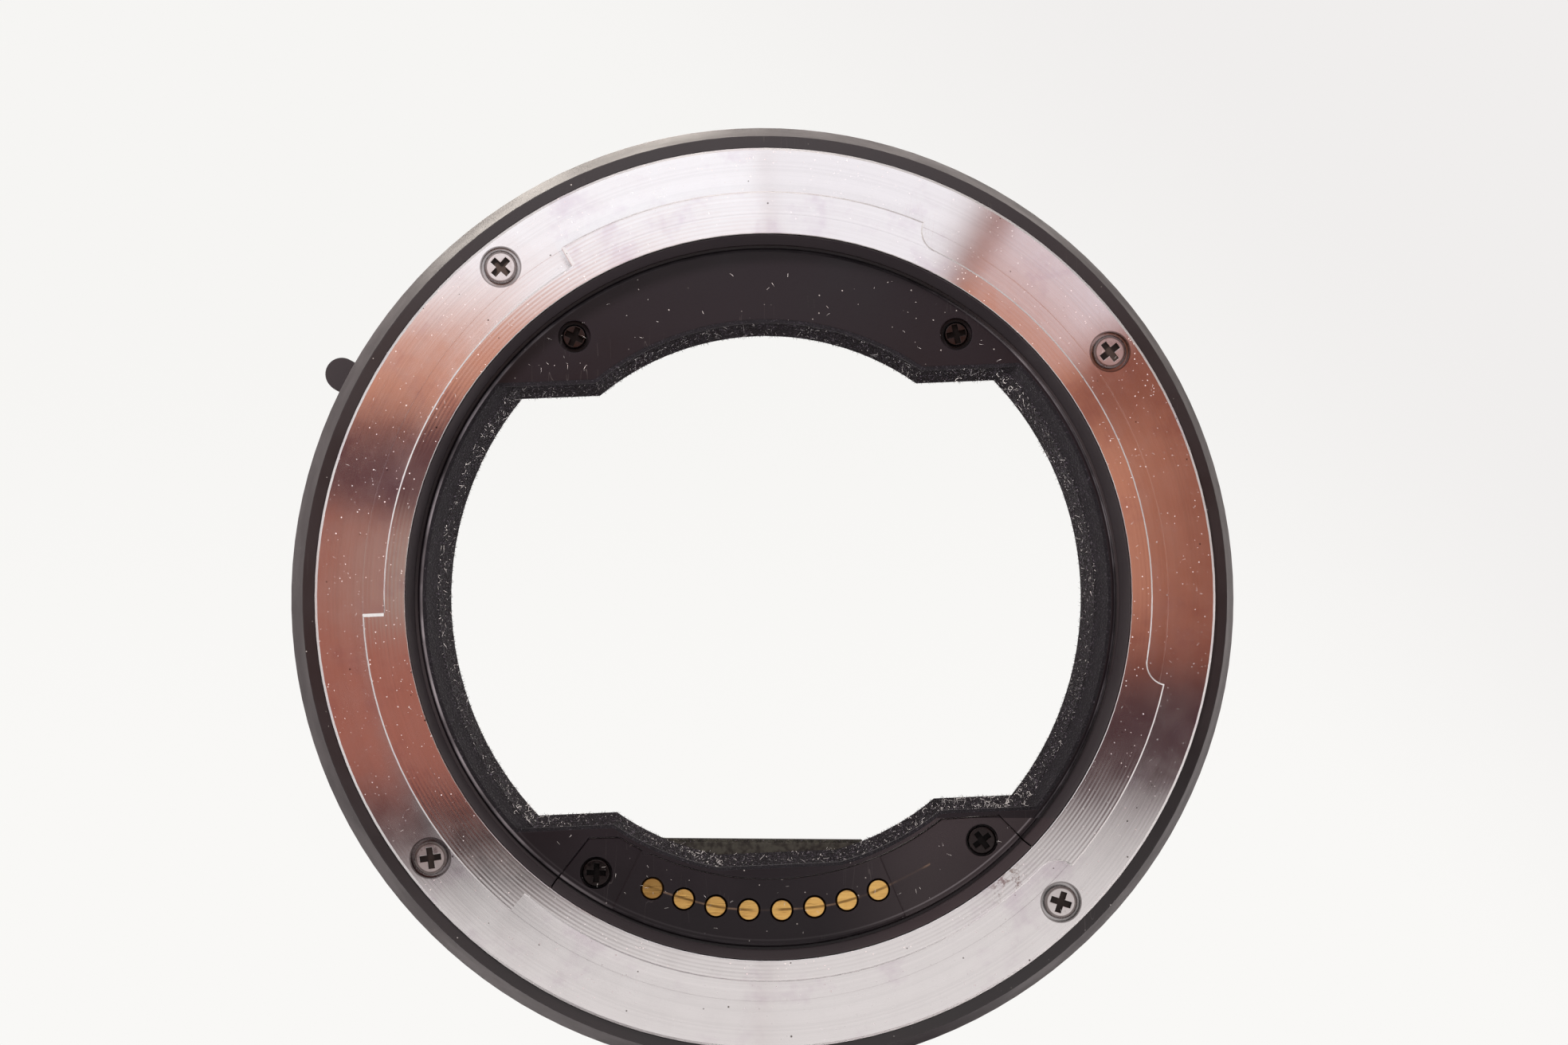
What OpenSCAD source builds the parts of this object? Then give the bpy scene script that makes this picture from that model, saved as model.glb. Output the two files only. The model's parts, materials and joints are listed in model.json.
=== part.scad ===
// Macro extension tube for a 4.5 x 6 cm medium-format camera.
// It stands on the lens-side flange face at z = 0, the camera-side bayonet faces +Z, all sizes are millimetres and degrees.

/* [Barrel] */
// Distance from the front flange face to the rear flange face
tube_length = 26; // [24:1:40]
// Largest outside radius of the barrel
barrel_radius = 42.4; // [38:0.2:50]
// How far the barrel stands out beyond its two rims
barrel_step = 1.3; // [0.6:0.1:1.6]
// Width of the black rim that shows around each flange
rim_width = 1.1; // [0.8:0.1:1.4]
// Height of the taper between the barrel and its rear rim
taper_height = 5.4; // [3:0.2:8]
// Height of the chamfer at the front rim
front_chamfer = 1.4; // [0.6:0.2:2]
// Depth of the two turned grooves around the barrel
groove_depth = 0.35; // [0.1:0.05:0.6]
// Width of the two turned grooves around the barrel
groove_width = 0.8; // [0.4:0.1:1.2]

/* [Flanges] */
// Thickness of both metal flanges
flange_thick = 2.4; // [2.2:0.1:2.8]
// How far each flange stands proud of the barrel
flange_proud = 0.6; // [0.3:0.1:0.9]
// Bevel on the outer edge of each flange
flange_bevel = 0.22; // [0.1:0.01:0.5]
// Depth of the turned relief inside the rear seat
seat_relief = 0.15; // [0.05:0.05:0.4]
// Distance of the flange screws from the edge of the flange
flange_screw_inset = 2.37; // [2.3:0.01:2.5]
// Radius of the flange screw heads
flange_screw_head = 1.48; // [1.3:0.02:1.56]
// Radius of the counterbores of the flange screws
flange_counterbore = 1.74; // [1.7:0.01:1.78]

/* [Rear bayonet] */
// Height of the bayonet above the rear seat
bayonet_height = 5.8; // [5.6:0.1:6.4]
// Width of the flange seat outside the lugs
seat_width = 4.44; // [4.4:0.02:4.6]
// How far the lugs stand out of the bayonet
lug_rise = 1.86; // [1.6:0.02:1.9]
// Wall of the bayonet between its lugs
bayonet_wall = 1.85; // [1.6:0.05:2]
// Thickness of the bayonet lugs
lug_thick = 2; // [1.7:0.1:2.1]
// Chamfer on the edges of the bayonet
bayonet_bevel = 0.13; // [0.05:0.01:0.3]
// Small bevel on the inner edge of the bayonet face
bore_bevel = 0.06; // [0.03:0.01:0.15]
// Slanted facet on the two square lug ends
lug_facet = 0.4; // [0.3:0.1:0.8]
// Angle at which the first lug starts
lug_1_start = 318.3; // [317:0.1:320]
// Angle that the first lug covers
lug_1_sweep = 29.2; // [27:0.1:31]
// Angle at which the second lug starts
lug_2_start = 182.5; // [182:0.1:184]
// Angle that the second lug covers
lug_2_sweep = 45; // [43:0.1:47]
// Angle at which the third lug starts
lug_3_start = 67.5; // [66:0.1:69]
// Angle that the third lug covers
lug_3_sweep = 53.3; // [51:0.1:54]

/* [Picture opening] */
// Width of the plate at the left and right ends of the opening
gate_side_margin = 2.87; // [2.6:0.05:3.2]
// Width of the plate above and below the opening
gate_top_margin = 7.6; // [7.4:0.05:8]
// Height of the round top and bottom of the opening over its straight sides
gate_top_rise = 4.75; // [4.6:0.05:5]
// Turn of the opening about the optical axis
gate_turn = 2.4; // [0:0.1:3]
// Depth of the flat that is cut off the bottom of the opening
gate_flat_depth = 0.6; // [0.4:0.05:0.8]
// Width of the flocked bevel around the opening
flock_width = 1; // [0.8:0.05:1.05]
// Height of the flocked bevel around the opening
flock_height = 1.8; // [1.4:0.1:2]
// Thickness of the flock layer
flock_thick = 0.3; // [0.2:0.05:0.3]

/* [Rear liner] */
// Depth of the liner plate below the bayonet face
plate_depth = 3; // [2.8:0.1:3.2]
// Thickness of the liner plate
plate_thick = 1.6; // [1.3:0.1:1.8]
// Width of the liner rim around its groove
liner_rim_width = 0.7; // [0.5:0.05:0.8]
// Width of the groove between the liner rim and the plate
liner_groove_width = 0.3; // [0.2:0.05:0.5]
// Bevel on the edge of the liner plate
plate_bevel = 0.3; // [0.1:0.05:0.4]
// Depth of the liner rim below the bayonet face
liner_rim_depth = 0.25; // [0.1:0.05:0.4]
// Distance of the black screws from the edge of the plate
plate_screw_inset = 2.2; // [2.1:0.05:2.4]
// Radius of the heads of the two liner screws
liner_screw_head = 1.08; // [1:0.02:1.2]
// Radius of the heads of the two contact block screws
block_screw_head = 1.25; // [1.1:0.02:1.28]
// Radius of the counterbores of the black screws
plate_counterbore = 1.42; // [1.38:0.01:1.48]
// Width of the split line around the contact block
split_gap = 0.1; // [0.06:0.01:0.16]

/* [Contacts] */
// Distance of the contacts from the edge of the plate
contact_inset = 3.2; // [3.1:0.05:3.3]
// Angle between neighbouring contacts
contact_pitch = 6.04; // [5.9:0.02:6.2]
// Angle of the middle of the contact row
contact_middle = 269.5; // [269:0.1:270]
// Radius of each rear contact pad
pad_radius = 0.9; // [0.8:0.02:0.96]
// Radius of each hole around a rear contact pad
pad_hole_radius = 1.03; // [1:0.01:1.1]
// How deep the rear contact pads lie below the block face
pad_depth = 0.08; // [0.02:0.02:0.2]
// Radius of each front contact pin
pin_radius = 0.62; // [0.5:0.02:0.66]
// Clearance around each front contact pin
pin_play = 0.1; // [0.06:0.01:0.14]
// How far the front contact pins stand out of their block
pin_reach = 1.3; // [1.1:0.1:1.5]
// Travel of each front contact pin
pin_travel = 1; // [0.6:0.1:1]

/* [Front mount] */
// Clearance between a lens bayonet and the front lugs
front_lug_play = 0.3; // [0.2:0.02:0.4]
// Clearance between a lens lug and the gaps between the front lugs
front_gap_play = 0.34; // [0.2:0.02:0.4]
// Clearance between the front lug gaps and the bore inside the barrel
bore_play = 0.3; // [0.2:0.05:0.5]
// Angle that a lens is turned by from entering to locking
lock_turn = 55; // [54:0.5:56]
// Extra angle at each end of an entry gap
gap_play = 1.5; // [1:0.1:1.6]
// Thickness of the leaf springs behind the front lugs
leaf_thick = 0.25; // [0.15:0.05:0.35]
// Length of each leaf spring
leaf_length = 13; // [10:0.5:13]

/* [Lens release] */
// Angle of the release lever around the barrel
lever_angle = 151.8; // [150:0.1:153]
// Width of the release lever
lever_width = 3; // [2.6:0.1:3.2]
// Thickness of the release lever
lever_thick = 2.2; // [1.8:0.1:2.4]
// How far the lever's tip lies outside the barrel
lever_reach = 2.6; // [2:0.1:3.4]
// Travel of the release lever along the tube
lever_travel = 2.5; // [2.1:0.1:2.6]
// Clearance of the sliding parts of the release
slide_play = 0.15; // [0.1:0.01:0.25]
// Radius of the lock bolt
bolt_radius = 0.85; // [0.7:0.05:0.9]
// Radius of the two guide posts
post_radius = 0.8; // [0.7:0.05:0.85]
// Radius of the lens stop pin
stop_radius = 0.8; // [0.7:0.05:0.85]
// Wire radius of the release springs
release_wire = 0.16; // [0.12:0.01:0.18]

/* [Hidden] */
$fn = 72;
cut = 0.4;
seat_z = tube_length;
face_z = seat_z + bayonet_height;
plate_z = face_z - plate_depth;
plate_under = plate_z - plate_thick;
lug_under = face_z - lug_thick;
rear_shelf = seat_z - flange_thick;
rear_rim = seat_z - flange_proud;
rim_radius = barrel_radius - barrel_step;
flange_radius = rim_radius - rim_width;
flange_play = 0.05;
flange_screw_circle = flange_radius - flange_screw_inset;
lug_radius = flange_radius - seat_width;
bayonet_radius = lug_radius - lug_rise;
bayonet_bore = bayonet_radius - bayonet_wall;
front_lug_radius = bayonet_radius + front_lug_play;
front_gap_radius = lug_radius + front_gap_play;
barrel_bore = front_gap_radius + bore_play;
land_play = 0.24;
land_radius = lug_radius + land_play;
lug_2_end = lug_2_start + lug_2_sweep;
lug_3_end = lug_3_start + lug_3_sweep;
lug_root_angle = lug_rise / lug_radius * 180 / PI;
groove_1_z = 3.6;
groove_land = 0.8;
groove_spots = [groove_1_z, groove_1_z + groove_width + groove_land];

screw_shank = 0.8;
hole_play = 0.12;
thread_play = 0.03;
counterbore_depth = 1.1;
head_sink = 0.1;
head_edge = 0.15;
cross_length = 1.9;
cross_width = 0.57;
cross_depth = 0.55;
flange_screw_length = 4;
flange_screw_gap = 0.5;
flange_screw_spots = [[35.6, 38], [128.9, 48], [217.8, 8], [314, -18]];
liner_screw_spots = [[54.4, 12], [126.7, 67]];
block_screw_spots = [[238.1, -3], [311.35, 37]];
plate_shank = 0.6;
plate_counterbore_depth = 0.75;
plate_cross_length = 1.7;
plate_cross_width = 0.5;
plate_cross_depth = 0.4;
plate_screw_length = 3.4;

liner_play = 0.05;
liner_radius = bayonet_bore - liner_play;
liner_lip = 0.08;
liner_foot_depth = 4.4;
liner_foot = plate_z - liner_foot_depth;
liner_wall = 1.2;
liner_groove = 0.12;
liner_groove_radius = liner_radius - liner_rim_width;
plate_radius = liner_groove_radius - liner_groove_width;
plate_screw_circle = plate_radius - plate_screw_inset;
contact_circle = plate_radius - contact_inset;

gate_side_radius = plate_radius - gate_side_margin;
gate_top_radius = plate_radius - gate_top_margin;
gate_half_height = gate_top_radius - gate_top_rise;
gate_flat = gate_top_radius - gate_flat_depth;
gate_depth = 2.8;
gate_z = plate_z - gate_depth;
bevel_top = gate_z + flock_height;
side_slope = 1.15;
slope_middle = 0.55;
slope_middle_z = (bevel_top + plate_z) / 2;

block_inner_radius = contact_circle - 2.7;
block_right_outer = polar(plate_radius + 1.89, 316.215);
block_right_knee = below(gate_side_radius + 0.12, gate_half_height + 0.85);
block_right_inner = below(block_inner_radius - 0.39, gate_half_height + 1.24);
block_left_outer = polar(plate_radius + 2.11, 233.227);
block_left_knee = polar(contact_circle - 1.16, 233.52);
block_left_step = polar(block_inner_radius - 0.232, 239.203);
block_left_inner = polar(block_inner_radius + 0.064, 243.6);
block_far = barrel_radius;
block_drop = 3;
land_start = 243.5;
land_end = 293.3;
land_step = 0.12;
land_cut_sweep = 30;

contact_half_space = contact_circle * contact_pitch * PI / 360;
pad_collar_radius = min(1.3, contact_half_space - 0.1);
pad_collar = 0.4;
pad_tail_radius = 0.4;
pad_tail = 0.6;
flex_thick = 0.15;
flex_half_angle = 23;
flex_radius = contact_circle + 2.6;
flex_slot_play = 0.25;
flex_z = plate_under - pad_collar - pad_tail;

frame_drop = 9.7;
frame_z = plate_under - frame_drop;
frame_thick = 1.5;
frame_top = frame_z + frame_thick;
frame_play = 0.1;
frame_margin = 1.6;
frame_boss_radius = min(2, liner_radius - liner_wall - plate_screw_circle - 0.1);
rib_width = 3.2;
rib_radius = barrel_bore - rib_width;
rib_height = 1.5;
rib_z = frame_z - rib_height;
frame_screw_circle = barrel_bore - rib_width / 2;
frame_screw_angles = [10, 100, 215];
frame_screw_head = 1.2;
frame_screw_head_thick = 0.6;
frame_screw_length = 2.6;

block_z = 3.6;
block_step_z = 6.4;
block_back = 8.6;
front_block_outer = plate_radius;
front_block_boss_inner = contact_circle - 2;
front_block_boss_outer = contact_circle + 2.3;
front_block_half_angle = 35.5;
front_boss_half_angle = 24.5;
front_block_flat = gate_top_radius - 0.8;
front_block_inner = contact_circle - 3;
front_screw_angle = 30.4;
front_screw_circle = contact_circle + 0.6;
pin_tip_z = block_z - pin_reach;
pin_guide = 1.6;
pin_shelf = block_z + pin_guide;
pin_collar_radius = 0.95;
pin_collar = 0.5;
pin_chamber_radius = 1.07;
pin_spring_wire = 0.11;
pin_spring_radius = 0.72;
pin_spring_turns = 4;

pocket_floor = 6.8;
pocket_wall = 2;
pocket_radius = barrel_radius - pocket_wall;
slider_z = 9.4;
slider_height = 2.9;
pocket_top = slider_z + slider_height + lever_travel + 1.2;
pocket_roof = pocket_top + 1.4;
slider_gap = 0.4;
slider_inner = barrel_bore + slider_gap;
slider_outer = pocket_radius - 0.7;
slider_wall = slider_outer - slider_inner;
slider_step = 0.6;
slider_end = lever_angle + 7;
bolt_circle = front_gap_radius - 1.04;
bolt_tip = 3.9;
bolt_angle = lug_3_end + (bolt_radius / bolt_circle) * 180 / PI + 0.3;
slider_start = bolt_angle - 2.2;
pocket_start = slider_start - 1;
pocket_end = slider_end + 1;
post_circle = (slider_inner + slider_outer) / 2;
post_angles = [lever_angle - 20, lever_angle + 4.6];
post_foot = 1.5;
lever_root = slider_outer;
lever_z = slider_z + slider_height / 2;
lever_tip = barrel_radius + lever_reach;
lever_slot_play = 0.2;
lever_screw_head = 0.95;
lever_screw_shank = 0.5;
lever_screw_head_thick = 0.45;
lever_screw_sink = 0.2;
lever_screw_grip = 1.6;
lever_hole_depth = 2.2;
release_spring_turns = 6;
release_spring_radius = 1.12;
stop_angle = lug_2_start - (stop_radius / bolt_circle) * 180 / PI - 0.3;
stop_z = 4.9;
stop_inner = front_lug_radius + 0.2;
stop_outer = barrel_radius - 2.9;
leaf_width = 1;
leaf_inner = front_lug_radius + 0.15;
leaf_rise = 3;
leaf_3_shift = 4;
leaf_bow = 26;
rivet_radius = 0.35;
rivet_head = 0.45;
rivet_head_thick = 0.2;
rivet_depth = 1.2;
dot_radius = 0.9;
dot_depth = 0.3;
dot_angle = 90;
dot_front_z = 8.2;
dot_rear_gap = 2.2;
dot_spots = [dot_front_z, tube_length - taper_height - dot_rear_gap];

flange_metal = [0.78, 0.77, 0.76];
black_metal = [0.12, 0.12, 0.13];
black_plastic = [0.15, 0.14, 0.15];
flock_black = [0.1, 0.1, 0.1];
gold = [0.85, 0.68, 0.35];
screw_steel = [0.75, 0.75, 0.76];
black_steel = [0.2, 0.19, 0.18];
spring_steel = [0.66, 0.66, 0.68];
amber_film = [0.55, 0.32, 0.12];
dot_red = [0.75, 0.1, 0.08];

// Point on a circle of radius r at angle a
function polar(r, a) = [r * cos(a), r * sin(a)];

// Point below the axis at a height y on a circle of radius r
function below(r, y) = [sqrt(r * r - y * y), -y];

// Cylinder between two heights
module bar(r, z0, z1) {
    translate([0, 0, z0])
        cylinder(r = r, h = z1 - z0);
}

// Cone between two heights
module cone(r0, r1, z0, z1) {
    translate([0, 0, z0])
        cylinder(r1 = r0, r2 = r1, h = z1 - z0);
}

// Ring between two radii and two heights
module ring(r_in, r_out, z0, z1) {
    rotate_extrude()
        translate([r_in, z0])
            square([r_out - r_in, z1 - z0]);
}

// Part of a ring from angle a0 over a sweep
module arc(r_in, r_out, a0, sweep, z0, z1) {
    rotate([0, 0, a0])
        rotate_extrude(angle = sweep)
            translate([r_in, z0])
                square([r_out - r_in, z1 - z0]);
}

// Children carried to a point at radius r and angle a
module at(r, a) {
    rotate([0, 0, a])
        translate([r, 0, 0])
            children();
}

// Cross recess, its top at z = 0
module cross_recess(length, width, depth) {
    for (turn = [0, 90])
        rotate([0, 0, turn])
            translate([-length / 2, -width / 2, -depth])
                cube([length, width, depth + cut]);
}

// Screw with its head's top at z = 0 and its shank going down
module screw(head, head_thick, shank, length, cross, width, depth) {
    difference() {
        rotate_extrude()
            polygon([[0, -head_thick - length], [shank, -head_thick - length], [shank, -head_thick], [head, -head_thick],
                [head, -head_edge], [head - head_edge, 0], [0, 0]]);
        cross_recess(cross, width, depth);
    }
}

// Straight-walled form of the picture opening, grown by a margin
module gate_form(grow, z0, z1) {
    gate_solid(grow, [[0, z0], [0, z1]], [[0, z0], [0, z1]]);
}

// Picture opening whose walls follow a list of [offset, height] steps, the round ends following their own list
module gate_solid(grow, steps, end_steps) {
    low = steps[0][1];
    high = steps[len(steps) - 1][1];
    rotate([0, 0, gate_turn])
        difference() {
            union() {
                intersection() {
                    rotate_extrude()
                        polygon(concat([[0, low]], [for (p = end_steps) [gate_side_radius + grow + p[0], p[1]]], [[0, high]]));
                    rotate([90, 0, 90])
                        translate([0, 0, -barrel_radius])
                            linear_extrude(2 * barrel_radius)
                                polygon(concat([for (p = steps) [gate_half_height + grow + p[0], p[1]]],
                                    [for (i = [1:len(steps)])
                                        let (p = steps[len(steps) - i]) [-gate_half_height - grow - p[0], p[1]]]));
                }
                rotate_extrude()
                    polygon(concat([[0, low]], [for (p = steps) [gate_top_radius + grow + p[0], p[1]]], [[0, high]]));
            }
            rotate([90, 0, 90])
                translate([0, 0, -barrel_radius])
                    linear_extrude(2 * barrel_radius)
                        polygon(concat([[-barrel_radius, low - cut], [-gate_flat - grow - steps[0][0], low - cut]],
                            [for (p = steps) [-gate_flat - grow - p[0], p[1]]],
                            [[-gate_flat - grow - steps[len(steps) - 1][0], high + cut], [-barrel_radius, high + cut]]));
        }
}

// Grooved outside of the barrel with its shelves, bore, inner rib, release pocket and screw holes
module barrel() {
    color(black_metal)
        difference() {
            rotate_extrude()
                polygon([[barrel_bore, flange_thick], [flange_radius + flange_play, flange_thick],
                    [flange_radius + flange_play, flange_proud], [rim_radius, flange_proud],
                    [barrel_radius, flange_proud + front_chamfer],
                    [barrel_radius, groove_spots[0]], [barrel_radius - groove_depth, groove_spots[0]],
                    [barrel_radius - groove_depth, groove_spots[0] + groove_width], [barrel_radius, groove_spots[0] + groove_width],
                    [barrel_radius, groove_spots[1]], [barrel_radius - groove_depth, groove_spots[1]],
                    [barrel_radius - groove_depth, groove_spots[1] + groove_width], [barrel_radius, groove_spots[1] + groove_width],
                    [barrel_radius, rear_rim - taper_height], [rim_radius, rear_rim],
                    [flange_radius + flange_play, rear_rim], [flange_radius + flange_play, rear_shelf],
                    [barrel_bore, rear_shelf], [barrel_bore, frame_z], [rib_radius, frame_z],
                    [rib_radius, rib_z], [barrel_bore, rib_z]]);
            arc(barrel_bore - cut, pocket_radius, pocket_start, pocket_end - pocket_start, pocket_floor, pocket_top);
            for (a = post_angles)
                at(post_circle, a)
                    bar(release_spring_radius + release_wire + slide_play, pocket_top - cut, pocket_roof);
            for (a = post_angles)
                at(post_circle, a)
                    bar(post_radius, pocket_floor - post_foot, pocket_roof + post_foot);
            lever_slot();
            for (spot = flange_screw_spots)
                at(flange_screw_circle, spot[0])
                    bar(screw_shank + thread_play, rear_shelf - flange_screw_length, rear_shelf + cut);
            for (spot = flange_screw_spots)
                at(flange_screw_circle, -spot[0])
                    bar(screw_shank + thread_play, flange_thick - cut, flange_thick + flange_screw_length);
            for (a = frame_screw_angles)
                at(frame_screw_circle, a)
                    bar(plate_shank + thread_play, rib_z - cut, frame_z + cut);
            rotate([0, 0, stop_angle])
                translate([barrel_bore - 1, 0, stop_z])
                    rotate([0, 90, 0])
                        cylinder(r = stop_radius, h = stop_outer - barrel_bore + 1);
            for (z = dot_spots)
                rotate([0, 0, dot_angle])
                    translate([barrel_radius - dot_depth, 0, z])
                        rotate([0, 90, 0])
                            cylinder(r = dot_radius, h = dot_depth + cut);
        }
}

// Slot in the barrel wall that the release lever slides in
module lever_slot() {
    low = lever_z - lever_thick / 2 - lever_slot_play;
    high = lever_z + lever_thick / 2 + lever_travel + lever_slot_play;
    rotate([0, 0, lever_angle])
        translate([pocket_radius - 1, -lever_width / 2 - lever_slot_play, low])
            cube([barrel_radius - pocket_radius + 2, lever_width + 2 * lever_slot_play, high - low]);
}

// One bayonet lug, its curved ends running into the ring and its square ends standing radially
module lug(start, sweep, curved_start, curved_end) {
    before = curved_start ? lug_root_angle : 0;
    after = curved_end ? lug_root_angle : 0;
    difference() {
        rotate([0, 0, start - before])
            rotate_extrude(angle = sweep + before + after)
                polygon([[bayonet_radius - 1, lug_under], [lug_radius - bayonet_bevel, lug_under],
                    [lug_radius, lug_under + bayonet_bevel], [lug_radius, face_z - bayonet_bevel],
                    [lug_radius - bayonet_bevel, face_z], [bayonet_radius - 1, face_z]]);
        if (curved_start)
            at(lug_radius, start - before)
                lug_root_cut();
        if (curved_end)
            at(lug_radius, start + sweep + after)
                lug_root_cut();
        if (!curved_start)
            lug_end_facet(start);
        if (!curved_end)
            lug_end_facet(start + sweep);
    }
}

// Round cut of a curved lug root with the bevel around its top
module lug_root_cut() {
    bar(lug_rise, lug_under - cut, face_z + cut);
    cone(lug_rise, lug_rise + bayonet_bevel + cut, face_z - bayonet_bevel, face_z + cut);
}

// Slanted facet across the end of a lug
module lug_end_facet(angle) {
    rotate([0, 0, angle])
        translate([bayonet_radius, 0, face_z])
            rotate([45, 0, 0])
                translate([0, -lug_facet / 2, -lug_facet / 2])
                    cube([lug_rise + 1, lug_facet, lug_facet]);
}

// Rear flange with the male three-lug bayonet
module rear_mount() {
    color(flange_metal)
        difference() {
            union() {
                rotate_extrude()
                    polygon([[bayonet_bore, rear_shelf], [flange_radius, rear_shelf], [flange_radius, seat_z - flange_bevel],
                        [flange_radius - flange_bevel, seat_z], [land_radius, seat_z], [land_radius, seat_z - seat_relief],
                        [bayonet_radius, seat_z - seat_relief], [bayonet_radius, face_z - bayonet_bevel],
                        [bayonet_radius - bayonet_bevel, face_z], [bayonet_bore + bore_bevel, face_z],
                        [bayonet_bore, face_z - bore_bevel]]);
                difference() {
                    union() {
                        lug(lug_1_start, lug_1_sweep, true, true);
                        lug(lug_2_start, lug_2_sweep, false, true);
                        lug(lug_3_start, lug_3_sweep, true, false);
                    }
                    bar(bayonet_radius - 0.5, lug_under - cut, face_z + cut);
                }
            }
            for (spot = flange_screw_spots)
                at(flange_screw_circle, spot[0]) {
                    bar(flange_counterbore, seat_z - counterbore_depth, seat_z + cut);
                    bar(screw_shank + hole_play, rear_shelf - cut, seat_z);
                }
        }
}

// Screw of the rear flange
module rear_mount_screw(i) {
    spot = flange_screw_spots[i];
    color(screw_steel)
        at(flange_screw_circle, spot[0])
            translate([0, 0, seat_z - head_sink])
                rotate([0, 0, spot[1] - spot[0]])
                    screw(flange_screw_head, counterbore_depth - head_sink, screw_shank,
                        flange_thick - counterbore_depth + flange_screw_length - flange_screw_gap, cross_length, cross_width, cross_depth);
}

module rear_mount_screw_1() {
    rear_mount_screw(0);
}

module rear_mount_screw_2() {
    rear_mount_screw(1);
}

module rear_mount_screw_3() {
    rear_mount_screw(2);
}

module rear_mount_screw_4() {
    rear_mount_screw(3);
}

// Steps of the opening's wall between two heights, leaning out by a slope over the flocked bevel
function gate_steps(low, high, slope) = concat(low < gate_z ? [[0, low]] : [],
    [[0, gate_z], [flock_width, bevel_top], [flock_width + slope * slope_middle, slope_middle_z], [flock_width + slope, plate_z]],
    high > plate_z ? [[flock_width + slope, high]] : []);

// Cup-shaped liner of the bayonet before the contact block is split off
module liner_form() {
    rotate_extrude()
        polygon([[0, plate_under], [liner_radius - liner_wall, plate_under], [liner_radius - liner_wall, liner_foot],
            [liner_radius, liner_foot], [liner_radius, face_z - liner_rim_depth],
            [liner_radius - liner_lip, face_z - liner_rim_depth], [liner_groove_radius, plate_z - plate_bevel - liner_groove],
            [plate_radius, plate_z - plate_bevel - liner_groove], [plate_radius, plate_z - plate_bevel],
            [plate_radius - plate_bevel / 3, plate_z - plate_bevel / 3], [plate_radius - plate_bevel, plate_z], [0, plate_z]]);
}

// Outline of the contact block, grown by the split line
module block_region(grow) {
    difference() {
        translate([0, 0, liner_foot - 2 * cut])
            linear_extrude(face_z - liner_foot + 4 * cut)
                polygon([block_right_outer + [grow, grow], block_right_knee + [0, grow], block_right_inner + [0, grow],
                    [block_left_inner[0], block_right_inner[1] - block_drop], block_left_inner + [0, grow],
                    block_left_step + [0, grow], block_left_knee + [-grow / 2, grow], block_left_outer + [-grow, grow],
                    [block_left_outer[0] - grow, -block_far], [block_far, -block_far], [block_far, block_right_outer[1] + grow]]);
        bar(block_inner_radius - grow, liner_foot - 3 * cut, face_z + 3 * cut);
    }
}

// Hole and counterbore for a black screw of the liner
module plate_screw_hole(spot) {
    at(plate_screw_circle, spot[0]) {
        bar(plate_counterbore, plate_z - plate_counterbore_depth, plate_z + cut);
        bar(plate_shank + hole_play, plate_under - cut, plate_z);
    }
}

// Black moulded liner around the picture opening
module rear_liner() {
    color(black_plastic)
        difference() {
            liner_form();
            block_region(split_gap);
            gate_solid(flock_thick, gate_steps(plate_under - cut, plate_z + cut, 0), gate_steps(plate_under - cut, plate_z + cut, side_slope));
            for (spot = liner_screw_spots)
                plate_screw_hole(spot);
        }
}

// Flock layer on the bevel and the slopes around the picture opening
module rear_liner_flocking() {
    color(flock_black)
        difference() {
            gate_solid(flock_thick, gate_steps(gate_z, plate_z, 0), gate_steps(gate_z, plate_z, side_slope));
            gate_solid(0, gate_steps(gate_z - cut, plate_z + cut, 0), gate_steps(gate_z - cut, plate_z + cut, side_slope));
        }
}

// Black screw through the liner plate
module plate_screw(spot, head) {
    color(black_steel)
        at(plate_screw_circle, spot[0])
            translate([0, 0, plate_z - head_sink])
                rotate([0, 0, spot[1] - spot[0]])
                    screw(head, plate_counterbore_depth - head_sink, plate_shank, plate_screw_length,
                        plate_cross_length, plate_cross_width, plate_cross_depth);
}

module liner_screw_1() {
    plate_screw(liner_screw_spots[0], liner_screw_head);
}

module liner_screw_2() {
    plate_screw(liner_screw_spots[1], liner_screw_head);
}

// Angle of contact number i, counted from 0
function contact_angle(i) = contact_middle + (i - 3.5) * contact_pitch;

// Separate black block that holds the rear contacts
module rear_contact_block() {
    color(black_plastic)
        difference() {
            intersection() {
                liner_form();
                block_region(0);
            }
            arc(block_inner_radius - cut, plate_radius + cut, land_start - land_cut_sweep, land_cut_sweep, plate_z - land_step, plate_z + cut);
            arc(block_inner_radius - cut, plate_radius + cut, land_end, land_cut_sweep, plate_z - land_step, plate_z + cut);
            for (spot = block_screw_spots)
                plate_screw_hole(spot);
            for (i = [0:7])
                at(contact_circle, contact_angle(i))
                    bar(pad_hole_radius, plate_under - cut, plate_z + cut);
        }
}

module contact_block_screw_1() {
    plate_screw(block_screw_spots[0], block_screw_head);
}

module contact_block_screw_2() {
    plate_screw(block_screw_spots[1], block_screw_head);
}

// Gold pad with a collar under the block and a tail down to the flexible circuit
module rear_contact(i) {
    color(gold)
        at(contact_circle, contact_angle(i))
            rotate_extrude()
                polygon([[0, flex_z], [pad_tail_radius, flex_z], [pad_tail_radius, plate_under - pad_collar],
                    [pad_collar_radius, plate_under - pad_collar], [pad_collar_radius, plate_under], [pad_radius, plate_under],
                    [pad_radius, plate_z - pad_depth], [0, plate_z - pad_depth]]);
}

module rear_contact_1() {
    rear_contact(0);
}

module rear_contact_2() {
    rear_contact(1);
}

module rear_contact_3() {
    rear_contact(2);
}

module rear_contact_4() {
    rear_contact(3);
}

module rear_contact_5() {
    rear_contact(4);
}

module rear_contact_6() {
    rear_contact(5);
}

module rear_contact_7() {
    rear_contact(6);
}

module rear_contact_8() {
    rear_contact(7);
}

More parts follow.
